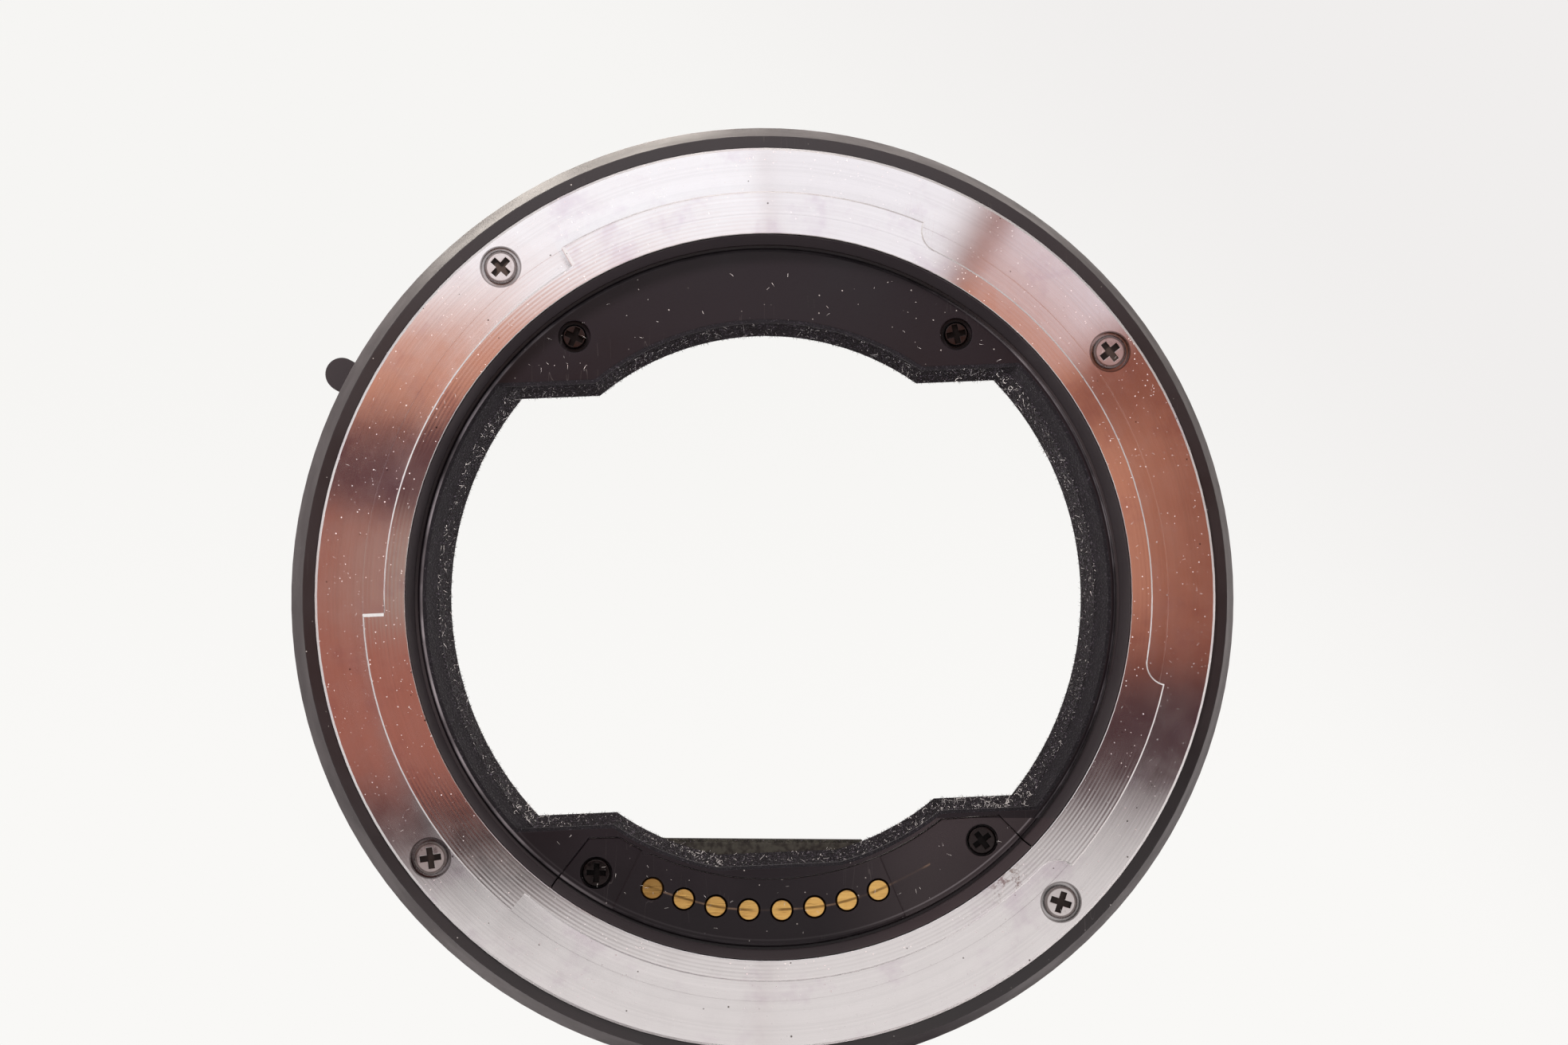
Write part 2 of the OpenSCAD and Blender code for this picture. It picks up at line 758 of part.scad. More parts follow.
// Flexible circuit from the rear contacts to the front contact pins
module flex_circuit() {
    start = contact_middle - flex_half_angle;
    sweep = 2 * flex_half_angle;
    color(amber_film) {
        arc(contact_circle - 1, flex_radius + flex_thick, start, sweep, flex_z - flex_thick, flex_z);
        arc(flex_radius, flex_radius + flex_thick, start, sweep, block_back, flex_z);
        arc(contact_circle - 1.2, flex_radius + flex_thick, start, sweep, block_back, block_back + flex_thick);
    }
}

// Moulded frame inside the barrel that carries the liner and both contact blocks
module inner_frame() {
    color(black_plastic)
        difference() {
            union() {
                difference() {
                    bar(barrel_bore - frame_play, frame_z, frame_top);
                    gate_form(frame_margin, frame_z - cut, frame_top + cut);
                }
                for (spot = concat(liner_screw_spots, block_screw_spots))
                    at(plate_screw_circle, spot[0])
                        bar(frame_boss_radius, frame_z, plate_under);
                for (side = [-1, 1])
                    at(front_screw_circle, contact_middle + side * front_screw_angle)
                        bar(frame_boss_radius, block_back, frame_top);
            }
            for (spot = concat(liner_screw_spots, block_screw_spots))
                at(plate_screw_circle, spot[0])
                    bar(plate_shank + thread_play, plate_under - plate_screw_length, plate_under + cut);
            for (side = [-1, 1])
                at(front_screw_circle, contact_middle + side * front_screw_angle)
                    bar(plate_shank + thread_play, block_back - cut, block_back + plate_screw_length);
            for (a = frame_screw_angles)
                at(frame_screw_circle, a)
                    bar(plate_shank + hole_play, frame_z - cut, frame_top + cut);
            arc(flex_radius - flex_slot_play, flex_radius + flex_thick + flex_slot_play, contact_middle - flex_half_angle - 1,
                2 * flex_half_angle + 2, frame_z - cut, frame_top + cut);
        }
}

// Screws that hold the inner frame on the barrel's rib
module inner_frame_screws() {
    color(black_steel)
        for (a = frame_screw_angles)
            at(frame_screw_circle, a)
                translate([0, 0, frame_top + frame_screw_head_thick])
                    screw(frame_screw_head, frame_screw_head_thick, plate_shank, frame_screw_length,
                        plate_cross_length, plate_cross_width, plate_cross_depth);
}

// Front flange with the female three-lug bayonet
module front_mount() {
    color(flange_metal)
        difference() {
            rotate_extrude()
                polygon([[front_lug_radius, bayonet_bevel], [front_lug_radius + bayonet_bevel, 0],
                    [flange_radius - flange_bevel, 0], [flange_radius, flange_bevel], [flange_radius, flange_thick],
                    [front_lug_radius, flange_thick]]);
            entry_gap(lug_1_start, lug_1_sweep);
            entry_gap(lug_2_start, lug_2_sweep);
            entry_gap(lug_3_start, lug_3_sweep);
            for (spot = flange_screw_spots)
                at(flange_screw_circle, -spot[0]) {
                    bar(flange_counterbore, -cut, counterbore_depth);
                    bar(screw_shank + hole_play, 0, flange_thick + cut);
                }
            for (i = [0:2])
                at(leaf_inner + leaf_width / 2, leaf_angle(i))
                    bar(rivet_radius, flange_thick - rivet_depth, flange_thick + cut);
        }
}

// Gap in the front mount that one lug of a lens enters by
module entry_gap(start, sweep) {
    arc(front_lug_radius - 1, front_gap_radius, start + lock_turn - gap_play, sweep + 2 * gap_play, -cut, flange_thick + cut);
}

// Screws of the front flange, their heads facing the lens
module front_mount_screws() {
    color(screw_steel)
        for (spot = flange_screw_spots)
            at(flange_screw_circle, -spot[0])
                translate([0, 0, head_sink])
                    rotate([180, 0, spot[1]])
                        screw(flange_screw_head, counterbore_depth - head_sink, screw_shank,
                            flange_thick - counterbore_depth + flange_screw_length - flange_screw_gap, cross_length, cross_width, cross_depth);
}

// Angle of the middle of leaf spring i, each behind one locked lug
function leaf_angle(i) = i == 0 ? lug_1_start + lug_1_sweep / 2
    : i == 1 ? lug_2_start + lug_2_sweep / 2
    : lug_3_start + lug_3_sweep / 2 - leaf_3_shift;

// Bowed leaf spring held in its middle, its ends standing toward the rear
module leaf_spring(i) {
    color(spring_steel)
        rotate([0, 0, leaf_angle(i)])
            difference() {
                intersection() {
                    translate([leaf_inner, 0, flange_thick + leaf_bow])
                        rotate([0, 90, 0])
                            difference() {
                                cylinder(r = leaf_bow, h = leaf_width);
                                translate([0, 0, -cut])
                                    cylinder(r = leaf_bow - leaf_thick, h = leaf_width + 2 * cut);
                            }
                    translate([leaf_inner - cut, -leaf_length / 2, flange_thick])
                        cube([leaf_width + 2 * cut, leaf_length, leaf_rise]);
                }
                translate([leaf_inner + leaf_width / 2, 0, 0])
                    bar(rivet_radius, flange_thick - cut, flange_thick + 1);
            }
}

module leaf_spring_1() {
    leaf_spring(0);
}

module leaf_spring_2() {
    leaf_spring(1);
}

module leaf_spring_3() {
    leaf_spring(2);
}

// Rivets that hold the leaf springs on the front lugs
module leaf_spring_rivets() {
    color(spring_steel)
        for (i = [0:2])
            at(leaf_inner + leaf_width / 2, leaf_angle(i)) {
                bar(rivet_radius, flange_thick - rivet_depth, flange_thick + leaf_thick);
                bar(rivet_head, flange_thick + leaf_thick, flange_thick + leaf_thick + rivet_head_thick);
            }
}

// Black block with the guides of the front contact pins
module front_contact_block() {
    start = contact_middle - front_block_half_angle;
    color(black_plastic)
        difference() {
            union() {
                arc(front_block_inner, front_block_outer, start, 2 * front_block_half_angle, block_step_z, block_back);
                intersection() {
                    arc(front_block_flat - 1, front_block_inner + 0.5, start, 2 * front_block_half_angle, block_step_z, block_back);
                    rotate([0, 0, contact_middle + 90])
                        translate([-block_far, -block_far, 0])
                            cube([2 * block_far, block_far - front_block_flat, block_back + 1]);
                }
                arc(front_block_boss_inner, front_block_boss_outer, contact_middle - front_boss_half_angle,
                    2 * front_boss_half_angle, block_z, block_step_z + 1);
            }
            for (i = [0:7])
                at(contact_circle, contact_angle(i)) {
                    bar(pin_radius + pin_play, block_z - cut, block_back);
                    bar(pin_chamber_radius, pin_shelf, block_back + cut);
                }
            for (side = [-1, 1])
                at(front_screw_circle, contact_middle + side * front_screw_angle) {
                    bar(plate_shank + hole_play, block_step_z - cut, block_back + cut);
                    bar(plate_counterbore, block_step_z - cut, block_step_z + plate_counterbore_depth);
                }
        }
}

// Flock strip on the flat inner edge of the front contact block
module front_block_flocking() {
    width = 2 * sqrt(pow(front_block_inner, 2) - pow(front_block_flat, 2)) - 1;
    color(flock_black)
        rotate([0, 0, contact_middle + 90])
            translate([-width / 2, -front_block_flat, block_step_z])
                cube([width, flock_thick, block_back - block_step_z]);
}

// Black screw of the front contact block, its head facing the lens
module front_block_screw(side) {
    color(black_steel)
        at(front_screw_circle, contact_middle + side * front_screw_angle)
            translate([0, 0, block_step_z + head_sink])
                rotate([180, 0, 20])
                    screw(block_screw_head, plate_counterbore_depth - head_sink, plate_shank, plate_screw_length,
                        plate_cross_length, plate_cross_width, plate_cross_depth);
}

module front_block_screw_1() {
    front_block_screw(-1);
}

module front_block_screw_2() {
    front_block_screw(1);
}

// Round-nosed contact pin with the collar that its spring bears on
module contact_pin(i) {
    color(gold)
        at(contact_circle, contact_angle(i)) {
            intersection() {
                translate([0, 0, pin_tip_z + pin_radius])
                    sphere(r = pin_radius);
                bar(pin_radius, pin_tip_z, pin_tip_z + pin_radius);
            }
            bar(pin_radius, pin_tip_z + pin_radius, pin_shelf + pin_collar);
            bar(pin_collar_radius, pin_shelf, pin_shelf + pin_collar);
        }
}

module contact_pin_1() {
    contact_pin(0);
}

module contact_pin_2() {
    contact_pin(1);
}

module contact_pin_3() {
    contact_pin(2);
}

module contact_pin_4() {
    contact_pin(3);
}

module contact_pin_5() {
    contact_pin(4);
}

module contact_pin_6() {
    contact_pin(5);
}

module contact_pin_7() {
    contact_pin(6);
}

module contact_pin_8() {
    contact_pin(7);
}

// Coil spring of round wire between two heights
module coil(radius, wire, z0, z1, turns, steps, sides) {
    count = turns * steps;
    points = [for (i = [0:count]) for (j = [0:sides - 1])
        let (a = 360 * i / steps, b = 360 * (j + 0.5) / sides + 90,
            z = z0 + wire + (z1 - z0 - 2 * wire) * i / count, r = radius + wire * cos(b))
        [r * cos(a), r * sin(a), z + wire * sin(b)]];
    walls = [for (i = [0:count - 1]) for (j = [0:sides - 1])
        let (k = (j + 1) % sides)
        [i * sides + j, i * sides + k, (i + 1) * sides + k, (i + 1) * sides + j]];
    first = [for (j = [0:sides - 1]) sides - 1 - j];
    last = [for (j = [0:sides - 1]) count * sides + j];
    polyhedron(points = points, faces = concat(walls, [first], [last]), convexity = 8);
}

// Spring between a front contact pin's collar and the flexible circuit
module contact_pin_spring(i) {
    color(spring_steel)
        at(contact_circle, contact_angle(i))
            coil(pin_spring_radius, pin_spring_wire, pin_shelf + pin_collar, block_back, pin_spring_turns, 10, 5);
}

module contact_pin_spring_1() {
    contact_pin_spring(0);
}

module contact_pin_spring_2() {
    contact_pin_spring(1);
}

module contact_pin_spring_3() {
    contact_pin_spring(2);
}

module contact_pin_spring_4() {
    contact_pin_spring(3);
}

module contact_pin_spring_5() {
    contact_pin_spring(4);
}

module contact_pin_spring_6() {
    contact_pin_spring(5);
}

module contact_pin_spring_7() {
    contact_pin_spring(6);
}

module contact_pin_spring_8() {
    contact_pin_spring(7);
}

// Round-ended tab that a finger pushes toward the rear
module release_lever() {
    straight = lever_tip - lever_width / 2 - lever_root;
    color(black_plastic)
        rotate([0, 0, lever_angle])
            translate([0, 0, lever_z - lever_thick / 2])
                difference() {
                    union() {
                        translate([lever_root, -lever_width / 2, 0])
                            cube([straight, lever_width, lever_thick]);
                        translate([lever_tip - lever_width / 2, 0, 0])
                            cylinder(r = lever_width / 2, h = lever_thick);
                    }
                    translate([lever_root - 1, 0, lever_thick / 2])
                        rotate([0, 90, 0])
                            cylinder(r = lever_screw_shank, h = lever_hole_depth + 1);
                }
}

// Curved slider with the lock bolt at one end and the lever's seat near the other
module release_slider() {
    color(black_metal)
        difference() {
            union() {
                arc(slider_inner, slider_outer - slider_step, slider_start, slider_end - slider_start, slider_z, slider_z + slider_height);
                rotate([0, 0, lever_angle])
                    translate([slider_inner + 1, -lever_width / 2, slider_z])
                        cube([slider_outer - slider_inner - 1, lever_width, slider_height]);
                arc(bolt_circle - bolt_radius, slider_inner + 1, slider_start, 2 * (bolt_angle - slider_start),
                    slider_z, slider_z + slider_height);
                at(bolt_circle, bolt_angle)
                    bar(bolt_radius, bolt_tip, slider_z + slider_height);
            }
            for (a = post_angles)
                at(post_circle, a)
                    bar(post_radius + slide_play, slider_z - cut, slider_z + slider_height + cut);
            rotate([0, 0, lever_angle])
                translate([slider_inner - 1, 0, lever_z])
                    rotate([0, 90, 0]) {
                        cylinder(r = lever_screw_shank, h = slider_wall + 2);
                        cylinder(r = lever_screw_head + 0.1, h = 1 + lever_screw_sink + lever_screw_head_thick);
                    }
        }
}

// Screw through the slider into the lever
module lever_screw() {
    color(black_steel)
        rotate([0, 0, lever_angle])
            translate([slider_inner + lever_screw_sink, 0, lever_z])
                rotate([0, 90, 0])
                    difference() {
                        union() {
                            cylinder(r = lever_screw_head, h = lever_screw_head_thick);
                            cylinder(r = lever_screw_shank, h = lever_root - slider_inner + lever_screw_grip);
                        }
                        translate([-lever_screw_head - 0.1, -0.15, -0.1])
                            cube([2 * lever_screw_head + 0.2, 0.3, 0.3]);
                    }
}

// Spring between the slider and the end of its pocket
module release_spring(i) {
    color(spring_steel)
        at(post_circle, post_angles[i])
            coil(release_spring_radius, release_wire, slider_z + slider_height, pocket_roof, release_spring_turns, 12, 6);
}

module release_spring_1() {
    release_spring(0);
}

module release_spring_2() {
    release_spring(1);
}

// Two posts that the slider runs on
module guide_posts() {
    color(spring_steel)
        for (a = post_angles)
            at(post_circle, a)
                bar(post_radius, pocket_floor - post_foot, pocket_roof + post_foot);
}

// Pin that stops a lens at the end of its turn
module lens_stop_pin() {
    color(spring_steel)
        rotate([0, 0, stop_angle])
            translate([stop_inner, 0, stop_z])
                rotate([0, 90, 0])
                    cylinder(r = stop_radius, h = stop_outer - stop_inner);
}

// Red alignment dots let into the barrel
module index_dots() {
    color(dot_red)
        for (z = dot_spots)
            rotate([0, 0, dot_angle])
                translate([barrel_radius - dot_depth, 0, z])
                    rotate([0, 90, 0])
                        cylinder(r = dot_radius, h = dot_depth * 0.9);
}

barrel();
rear_mount();
rear_mount_screw_1();
rear_mount_screw_2();
rear_mount_screw_3();
rear_mount_screw_4();
rear_liner();
rear_liner_flocking();
liner_screw_1();
liner_screw_2();
rear_contact_block();
contact_block_screw_1();
contact_block_screw_2();
rear_contact_1();
rear_contact_2();
rear_contact_3();
rear_contact_4();
rear_contact_5();
rear_contact_6();
rear_contact_7();
rear_contact_8();
flex_circuit();
inner_frame();
inner_frame_screws();
front_mount();
front_mount_screws();
leaf_spring_1();
leaf_spring_2();
leaf_spring_3();
leaf_spring_rivets();
front_contact_block();
front_block_flocking();
front_block_screw_1();
front_block_screw_2();
contact_pin_1();
contact_pin_2();
contact_pin_3();
contact_pin_4();
contact_pin_5();
contact_pin_6();
contact_pin_7();
contact_pin_8();
contact_pin_spring_1();
contact_pin_spring_2();
contact_pin_spring_3();
contact_pin_spring_4();
contact_pin_spring_5();
contact_pin_spring_6();
contact_pin_spring_7();
contact_pin_spring_8();
release_lever();
release_slider();
lever_screw();
release_spring_1();
release_spring_2();
guide_posts();
lens_stop_pin();
index_dots();
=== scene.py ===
import json
import math
import random

import bpy
from mathutils import Matrix, Vector


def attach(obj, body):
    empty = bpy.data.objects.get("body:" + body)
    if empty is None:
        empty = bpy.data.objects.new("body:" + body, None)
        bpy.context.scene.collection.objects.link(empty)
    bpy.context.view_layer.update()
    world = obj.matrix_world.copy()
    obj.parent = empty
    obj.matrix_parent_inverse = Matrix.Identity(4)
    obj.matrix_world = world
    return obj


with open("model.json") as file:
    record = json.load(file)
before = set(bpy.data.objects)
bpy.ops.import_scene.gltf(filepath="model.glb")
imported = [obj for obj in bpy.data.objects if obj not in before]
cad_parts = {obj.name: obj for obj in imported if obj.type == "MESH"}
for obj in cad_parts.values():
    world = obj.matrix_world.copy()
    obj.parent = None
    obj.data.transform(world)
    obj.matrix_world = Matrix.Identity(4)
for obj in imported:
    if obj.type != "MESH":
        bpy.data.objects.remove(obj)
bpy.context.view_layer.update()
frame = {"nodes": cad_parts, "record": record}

random.seed(645)
scene = bpy.context.scene
nodes = frame["nodes"]
record = frame["record"]
MM = 0.001

# heights in the CAD part that the looks refer to, in metres
SEAT = 26 * MM
FACE = 31.8 * MM
PLATE = 28.8 * MM
GATE = 26.0 * MM

# contact pads, flange screws and liner ridge of the CAD part, in metres and degrees
PAD_COUNT = 8
PAD_CIRCLE = 27.6 * MM
PAD_RADIUS = 0.9 * MM
PAD_PITCH = 6.04
PAD_MIDDLE = -90.5
FLANGE_SCREW_CIRCLE = 37.63 * MM
FLANGE_SCREWS = (35.6, 128.9, 217.8, 314.0)
LINER_RIDGE = 30.62 * MM


def linear(r, g, b):
    """sRGB values from 0 to 255 as a linear colour."""
    def one(v):
        v = v / 255
        return v / 12.92 if v <= 0.04045 else ((v + 0.055) / 1.055) ** 2.4
    return (one(r), one(g), one(b), 1.0)


def shaded(color, factor):
    """The colour made darker or lighter by a factor."""
    return tuple(c * factor for c in color[:3]) + (1,)


class Tree:
    """Node tree of one material, with short calls for the nodes it uses."""

    def __init__(self, name):
        self.material = bpy.data.materials.new(name)
        self.material.use_nodes = True
        self.nt = self.material.node_tree
        self.nt.nodes.clear()
        self.out = self.nt.nodes.new("ShaderNodeOutputMaterial")
        self.coord = self.nt.nodes.new("ShaderNodeTexCoord")

    def node(self, kind, **props):
        n = self.nt.nodes.new(kind)
        for k, v in props.items():
            setattr(n, k, v)
        return n

    def link(self, a, b):
        self.nt.links.new(a, b)

    def set(self, socket, value):
        if isinstance(value, bpy.types.NodeSocket):
            self.link(value, socket)
        else:
            socket.default_value = value

    def math(self, op, a, b=None, c=None, clamp=False):
        n = self.node("ShaderNodeMath", operation=op, use_clamp=clamp)
        for i, v in enumerate((a, b, c)):
            if v is not None:
                self.set(n.inputs[i], v)
        return n.outputs[0]

    def times(self, first, *others):
        for other in others:
            first = self.math("MULTIPLY", first, other)
        return first

    def minus(self, a, b):
        return self.math("SUBTRACT", a, b)

    def off(self, value, middle):
        """Distance of a value from a middle value."""
        return self.math("ABSOLUTE", self.minus(value, middle))

    def hypot(self, a, b):
        return self.math("SQRT", self.math("ADD", self.times(a, a), self.times(b, b)))

    def ramp(self, value, low, high, to_low=0.0, to_high=1.0):
        n = self.node("ShaderNodeMapRange", interpolation_type="SMOOTHSTEP")
        self.set(n.inputs["Value"], value)
        for key, v in (("From Min", low), ("From Max", high), ("To Min", to_low), ("To Max", to_high)):
            self.set(n.inputs[key], v)
        return n.outputs["Result"]

    def fall(self, value, low, high):
        """1 below low, 0 above high."""
        return self.ramp(value, low, high, 1.0, 0.0)

    def noise(self, scale, detail=2.0, rough=0.5, vector=None, distortion=0.0):
        n = self.node("ShaderNodeTexNoise", noise_dimensions="3D")
        self.link(vector if vector is not None else self.coord.outputs["Object"], n.inputs["Vector"])
        n.inputs["Scale"].default_value = scale
        n.inputs["Detail"].default_value = detail
        n.inputs["Roughness"].default_value = rough
        n.inputs["Distortion"].default_value = distortion
        return n.outputs["Fac"]

    def rings(self, scale, detail, rough=0.5):
        """Noise that only changes with the distance from the optical axis."""
        n = self.node("ShaderNodeTexNoise", noise_dimensions="1D")
        self.set(n.inputs["W"], self.radius())
        n.inputs["Scale"].default_value = scale
        n.inputs["Detail"].default_value = detail
        n.inputs["Roughness"].default_value = rough
        return n.outputs["Fac"]

    def voronoi(self, scale, vector):
        n = self.node("ShaderNodeTexVoronoi", feature="F1")
        self.link(vector, n.inputs["Vector"])
        n.inputs["Scale"].default_value = scale
        n.inputs["Randomness"].default_value = 1.0
        return n

    def mapped(self, scale=(1, 1, 1), rotation=(0, 0, 0), location=(0, 0, 0)):
        n = self.node("ShaderNodeMapping")
        self.link(self.coord.outputs["Object"], n.inputs["Vector"])
        n.inputs["Scale"].default_value = scale
        n.inputs["Rotation"].default_value = rotation
        n.inputs["Location"].default_value = location
        return n.outputs[0]

    def mix(self, fac, a, b):
        n = self.node("ShaderNodeMix", data_type="RGBA", blend_type="MIX")
        self.set(n.inputs["Factor"], fac)
        self.set(n.inputs[6], a)
        self.set(n.inputs[7], b)
        return n.outputs[2]

    def xyz(self):
        s = self.node("ShaderNodeSeparateXYZ")
        self.link(self.coord.outputs["Object"], s.inputs[0])
        return s.outputs

    def radius(self):
        """Distance from the optical axis."""
        x, y, _ = self.xyz()
        return self.hypot(x, y)

    def distance(self, vector, point):
        n = self.node("ShaderNodeVectorMath", operation="DISTANCE")
        self.link(vector, n.inputs[0])
        n.inputs[1].default_value = point
        return n.outputs["Value"]

    def bump(self, height, distance, strength=1.0, normal=None):
        n = self.node("ShaderNodeBump")
        self.set(n.inputs["Height"], height)
        n.inputs["Distance"].default_value = distance
        n.inputs["Strength"].default_value = strength
        if normal is not None:
            self.link(normal, n.inputs["Normal"])
        return n.outputs[0]

    def bevel(self, radius):
        n = self.node("ShaderNodeBevel", samples=6)
        n.inputs["Radius"].default_value = radius
        return n.outputs[0]

    def surface(self, color, rough, metallic=0.0, normal=None, spec=0.5, **more):
        p = self.node("ShaderNodeBsdfPrincipled")
        self.set(p.inputs["Base Color"], color)
        self.set(p.inputs["Roughness"], rough)
        self.set(p.inputs["Metallic"], metallic)
        self.set(p.inputs["Specular IOR Level"], spec)
        if normal is not None:
            self.link(normal, p.inputs["Normal"])
        for k, v in more.items():
            self.set(p.inputs[k.replace("_", " ")], v)
        self.link(p.outputs[0], self.out.inputs["Surface"])
        return p

    def emission(self, color, strength=1.0):
        e = self.node("ShaderNodeEmission")
        self.set(e.inputs["Color"], color)
        self.set(e.inputs["Strength"], strength)
        return e.outputs[0]


# masks that several looks share
SPECK_SHARE = 0.55
SCRATCH_STRETCH = 0.07
WIPE_WANDER = 0.5 * MM


def specks(t, scale, size, seed):
    """Mask of sparse round specks, 1 inside them."""
    v = t.voronoi(scale, t.mapped(location=(seed, seed * 0.7, seed * 1.3)))
    keep = t.node("ShaderNodeSeparateColor")
    t.link(v.outputs["Color"], keep.inputs[0])
    near = t.math("LESS_THAN", v.outputs["Distance"], t.times(keep.outputs[0], size))
    return t.times(near, t.math("GREATER_THAN", keep.outputs[1], SPECK_SHARE))


def scratches(t, scale, thin, angle, seed):
    """Mask of thin, nearly straight scratches, found in some patches only."""
    v = t.mapped(scale=(1.0, SCRATCH_STRETCH, 1.0), rotation=(0, 0, angle), location=(seed, seed, 0))
    n = t.noise(scale, detail=1.0, vector=v, distortion=0.1)
    line = t.math("LESS_THAN", t.off(n, 0.5), thin)
    patch = t.math("GREATER_THAN", t.noise(160, detail=1.0, vector=t.mapped(location=(seed * 3, 0, 0))), 0.6)
    return t.times(line, patch)


def wipe_streak(t, width):
    """Mask of the thin line that a lens's pins have wiped along the contact row."""
    circle = t.math("MULTIPLY_ADD", t.minus(t.noise(150, detail=1.0), 0.5), WIPE_WANDER, PAD_CIRCLE)
    line = t.fall(t.off(t.radius(), circle), width * 0.3, width)
    return t.times(line, t.ramp(t.noise(420, detail=2.0), 0.38, 0.55, 0.15, 1.0))


def pad_distance(t):
    """Distance from the middle of the nearest pad."""
    x, y, _ = t.xyz()
    turn = t.times(t.math("ARCTAN2", y, x), 180 / math.pi)
    step = t.math("DIVIDE", t.math("ADD", turn, PAD_PITCH * PAD_COUNT / 2 - PAD_MIDDLE), PAD_PITCH)
    aside = t.times(t.minus(t.math("FRACT", step), 0.5), math.radians(PAD_PITCH) * PAD_CIRCLE)
    away = t.hypot(aside, t.minus(t.radius(), PAD_CIRCLE))
    beyond = t.math("ADD", t.math("LESS_THAN", step, 0.0), t.math("GREATER_THAN", step, PAD_COUNT))
    return t.math("ADD", away, beyond)


def screw_distance(t):
    """Distance from the axis of the nearest flange screw."""
    x, y, _ = t.xyz()
    flat = t.node("ShaderNodeCombineXYZ")
    t.link(x, flat.inputs[0])
    t.link(y, flat.inputs[1])
    nearest = None
    for spot in FLANGE_SCREWS:
        a = math.radians(spot)
        axis = (FLANGE_SCREW_CIRCLE * math.cos(a), FLANGE_SCREW_CIRCLE * math.sin(a), 0)
        d = t.distance(flat.outputs[0], axis)
        nearest = d if nearest is None else t.math("MINIMUM", nearest, d)
    return nearest


def front_block_painted_light(t):
    """Mask of the lens-side block near its flat edge, where painted light makes its shade paler."""
    x, y, z = t.xyz()
    beside = t.fall(t.math("ABSOLUTE", x), 11 * MM, 14 * MM)
    patchy = t.ramp(t.noise(1500, detail=3.0), 0.36, 0.62, 0.35, 1.0)
    return t.times(t.fall(z, 12 * MM, 14 * MM), t.fall(y, -20 * MM, -18 * MM), beside, patchy)


# bright flange and bayonet
GROOVE_PITCH = 0.34 * MM
RUST_SPOT = (20.9 * MM, -25.1 * MM, FACE)
RUST_SIZE = (0.4 * MM, 2.6 * MM)
COUNTERBORE_EDGE = 1.78 * MM
GRIME = linear(70, 55, 45)
RUST = linear(112, 74, 52)
STAIN = linear(206, 188, 204)
# painted shade for the recesses below the seat
CREVICE_SHADE = linear(40, 34, 32)
# painted shade line along the counterbores' edges
HOLE_EDGE_SHADE = linear(70, 56, 52)
METAL_DUST = linear(176, 158, 156)


def groove_wave(t):
    """Evenly spaced turning grooves, strongest on the bayonet's face at the lower right,
    calm at the right."""
    x, y, z = t.xyz()
    wave = t.math("SINE", t.times(t.radius(), 2 * math.pi / GROOVE_PITCH))
    swell = t.ramp(t.rings(700, 1.0), 0.35, 0.65, 0.5, 1.0)
    on_face = t.ramp(z, SEAT + 1 * MM, SEAT + 2 * MM)
    part = t.ramp(t.minus(x, y), 12 * MM, 40 * MM, 0.55, 1.0)
    calm = t.times(t.ramp(x, 0.0, 20 * MM), t.fall(t.times(y, -1.0), 11 * MM, 20 * MM))
    height = t.math("MULTIPLY_ADD", on_face, 0.8, 0.2)
    return t.times(wave, swell, height, part, t.math("MULTIPLY_ADD", calm, -0.8, 1.0))


